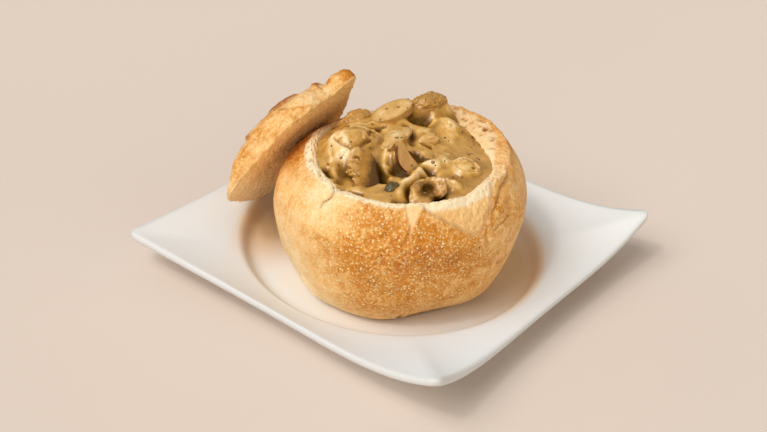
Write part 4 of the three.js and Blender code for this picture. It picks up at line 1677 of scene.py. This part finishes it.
        # The darkest folds show the darker shaded colour, mostly painted shade.
        piece.hold(bare=0.5 * np.maximum(dark, 0) ** 2, deep=deep)
        return piece.finish(points, loaf.place(), material, Slot.SAUCE, ["sauce"])

    def scatter(self, flecks: Flecks, loaf: Loaf, on: Sequence[bpy.types.Object]) -> None:
        """Scatters small bits over the stew, each lying on what is highest there.

        Args:
            flecks: The kind of bits.
            loaf: The loaf that holds the stew.
            on: The objects that they can lie on.
        """
        draw = np.random.default_rng(flecks.seed)
        trees = []
        for thing in on:
            solid = bmesh.new()
            solid.from_mesh(thing.data)
            trees.append(BVHTree.FromBMesh(solid))
            solid.free()
        heap = bmesh.new()
        for _ in range(flecks.count):
            reach = self.scatter_reach * math.sqrt(draw.random())
            turn = 2 * math.pi * draw.random()
            above = Vector((reach * math.cos(turn), reach * math.sin(turn), self.drop_height))
            start = loaf.place() @ above * MM
            hits = [tree.ray_cast(start, Vector((0, 0, -1))) for tree in trees]
            hits = [hit for hit in hits if hit[0] is not None]
            long, wide = draw.uniform(0.5, 1.2), draw.uniform(0.35, 0.8)
            roll = draw.uniform(0, 2 * math.pi)
            if not hits:
                continue
            spot, normal = max(hits, key=lambda hit: hit[0].z)[:2]
            tilt = Vector((0, 0, 1)).rotation_difference(normal).to_matrix().to_4x4()
            lie = tilt @ Matrix.Rotation(roll, 4, "Z")
            made = bmesh.ops.create_icosphere(heap, subdivisions=1, radius=flecks.size * MM / 2)["verts"]
            form = Matrix.Diagonal((long, wide, flecks.thick * wide, 1))
            bmesh.ops.transform(heap, matrix=Matrix.Translation(spot) @ lie @ form, verts=made)
        piece = Piece(flecks.name, heap)
        piece.finish(piece.points / MM, Matrix.Identity(4), flecks.finish.material(), Slot.SAUCE)

    def build(self, loaf: Loaf) -> None:
        """Builds and dresses the sauce, its pieces and its flecks.

        Args:
            loaf: The loaf that holds the stew.
        """
        cream = StewFinish("cream_sauce").material()
        beef = StewFinish("coated_beef")
        mushroom = StewFinish("coated_mushroom", bare=tone(190, 140, 74), skin=tone(108, 56, 26))
        gills = StewFinish("dark_gills", bare=tone(122, 104, 56), skin=tone(58, 52, 30))
        materials = {
            (Slot.BEEF, False): beef.material(),
            (Slot.MUSHROOM, False): mushroom.material(),
            (Slot.MUSHROOM, True): gills.material(),
        }
        shade = Shade(lambda x, y: self.surface(loaf, x, y)[1])
        made = [self.sauce(loaf, shade, cream)]
        made += [morsel.build(loaf, shade, materials[morsel.slot, morsel.dark]) for morsel in self.morsels]
        for flecks in self.flecks:
            self.scatter(flecks, loaf, made)


@dataclass(frozen=True)
class Lamp:
    """A broad soft light, by the way to it as the viewer sees it: right, away and up."""

    name: str
    towards: Tuple[float, float, float]
    strength: float
    softness: float
    colour: Tuple[float, float, float] = (1.0, 0.99, 0.97)


@dataclass
class Studio:
    """The floor, the lights and the camera."""

    image: Tuple[int, int] = (767, 432)
    focal: float = 1350.0
    distance: float = 795.0
    elevation: float = 34.28
    roll: float = 5.42
    aim: Tuple[float, float, float] = (-1.9, 0.8, 15.3)
    aim_pixel: Tuple[float, float] = (392.0, 240.0)
    turn: float = 34.8
    lamps: Tuple[Lamp, ...] = (
        Lamp("key", (-0.47, -0.43, 0.77), 1.9, 44.0),
        Lamp("glint", (-0.40, -0.42, 0.81), 0.44, 6.0),
        Lamp("overhead", (-0.05, 0.2, 0.98), 0.50, 90.0),
        Lamp("left", (-0.8, 0.1, 0.6), 0.34, 60.0),
        Lamp("behind", (0.15, 0.8, 0.58), 0.22, 60.0),
        Lamp("right", (0.84, -0.46, 0.26), 0.62, 60.0, (1.0, 0.88, 0.70)),
        Lamp("front", (0.10, -0.97, 0.2), 0.88, 50.0, (1.0, 0.98, 0.96)),
    )
    fill: float = 0.07
    fill_colour: Colour = (1.0, 0.9, 0.8, 1.0)
    floor_size: float = 8.0
    floor_tones: Tuple[Colour, Colour] = ((0.735, 0.620, 0.535, 1.0), (0.745, 0.630, 0.545, 1.0))
    sensor_width: float = 36.0

    def floor(self) -> None:
        """Lays the pale floor."""
        shape = bmesh.new()
        bmesh.ops.create_grid(shape, x_segments=4, y_segments=4, size=self.floor_size / 2)
        mesh = bpy.data.meshes.new("floor")
        shape.to_mesh(mesh)
        shape.free()
        graph = Graph("pale_floor")
        colour = graph.blend(graph.span(graph.noise(3.0, 1.0), 0.3, 0.7), *self.floor_tones)
        mesh.materials.append(graph.done(colour, 0.9, graph.relief(graph.noise(300.0), 0.00001)))
        thing = bpy.data.objects.new("floor", mesh)
        bpy.context.scene.collection.objects.link(thing)

    def lights(self) -> None:
        """Hangs the soft lamps and the even fill."""
        for lamp in self.lamps:
            sun = bpy.data.lights.new(lamp.name, "SUN")
            sun.energy = lamp.strength
            sun.angle = math.radians(lamp.softness)
            sun.color = lamp.colour
            hung = bpy.data.objects.new(lamp.name, sun)
            towards = Matrix.Rotation(math.radians(self.turn), 3, "Z") @ Vector(lamp.towards)
            hung.rotation_euler = towards.to_track_quat("Z", "Y").to_euler()
            bpy.context.scene.collection.objects.link(hung)
        world = bpy.data.worlds.new("fill")
        world.use_nodes = True
        sky = world.node_tree.nodes["Background"]
        sky.inputs["Color"].default_value = self.fill_colour
        sky.inputs["Strength"].default_value = self.fill
        bpy.context.scene.world = world

    def camera(self) -> None:
        """Sets the camera where the photograph was taken from."""
        tilt, roll = math.radians(self.elevation), math.radians(self.roll)
        right = Vector((math.cos(roll), math.sin(roll) * math.sin(tilt), math.sin(roll) * math.cos(tilt)))
        up = Vector((-math.sin(roll), math.cos(roll) * math.sin(tilt), math.cos(roll) * math.cos(tilt)))
        ahead = Vector((0.0, math.cos(tilt), -math.sin(tilt)))
        across, down = self.image[0] / 2 - self.aim_pixel[0], self.image[1] / 2 - self.aim_pixel[1]
        middle = (ahead * self.focal + right * across - up * down).normalized()
        right = (right - middle * right.dot(middle)).normalized()
        up = right.cross(middle)
        axes = Matrix((right, up, -middle)).transposed()
        to_part = Matrix.Rotation(math.radians(self.turn), 3, "Z")
        spot = to_part @ (ahead * -self.distance) + Vector(self.aim)
        lens = bpy.data.cameras.new("view")
        lens.sensor_width = self.sensor_width
        lens.lens = self.sensor_width * self.focal / self.image[0]
        lens.clip_end = 50.0
        eye = bpy.data.objects.new("view", lens)
        eye.matrix_world = Matrix.Translation(spot * MM) @ (to_part @ axes).to_4x4()
        bpy.context.scene.collection.objects.link(eye)
        bpy.context.scene.camera = eye

    def build(self) -> None:
        """Builds the studio."""
        self.camera()
        self.lights()
        self.floor()
        bpy.context.scene.view_settings.view_transform = "Standard"


def main() -> None:
    """Builds the studio and the meal."""
    logging.basicConfig(level=logging.INFO, format="%(message)s")
    Studio().build()
    bread = BreadFinish().material()
    loaf, lid = Loaf(), Lid()
    Plate().build(loaf, lid, GlazeFinish().material())
    loaf.build(bread)
    lid.build(loaf, bread)
    Stew().build(loaf)


if __name__ == "__main__":
    main()
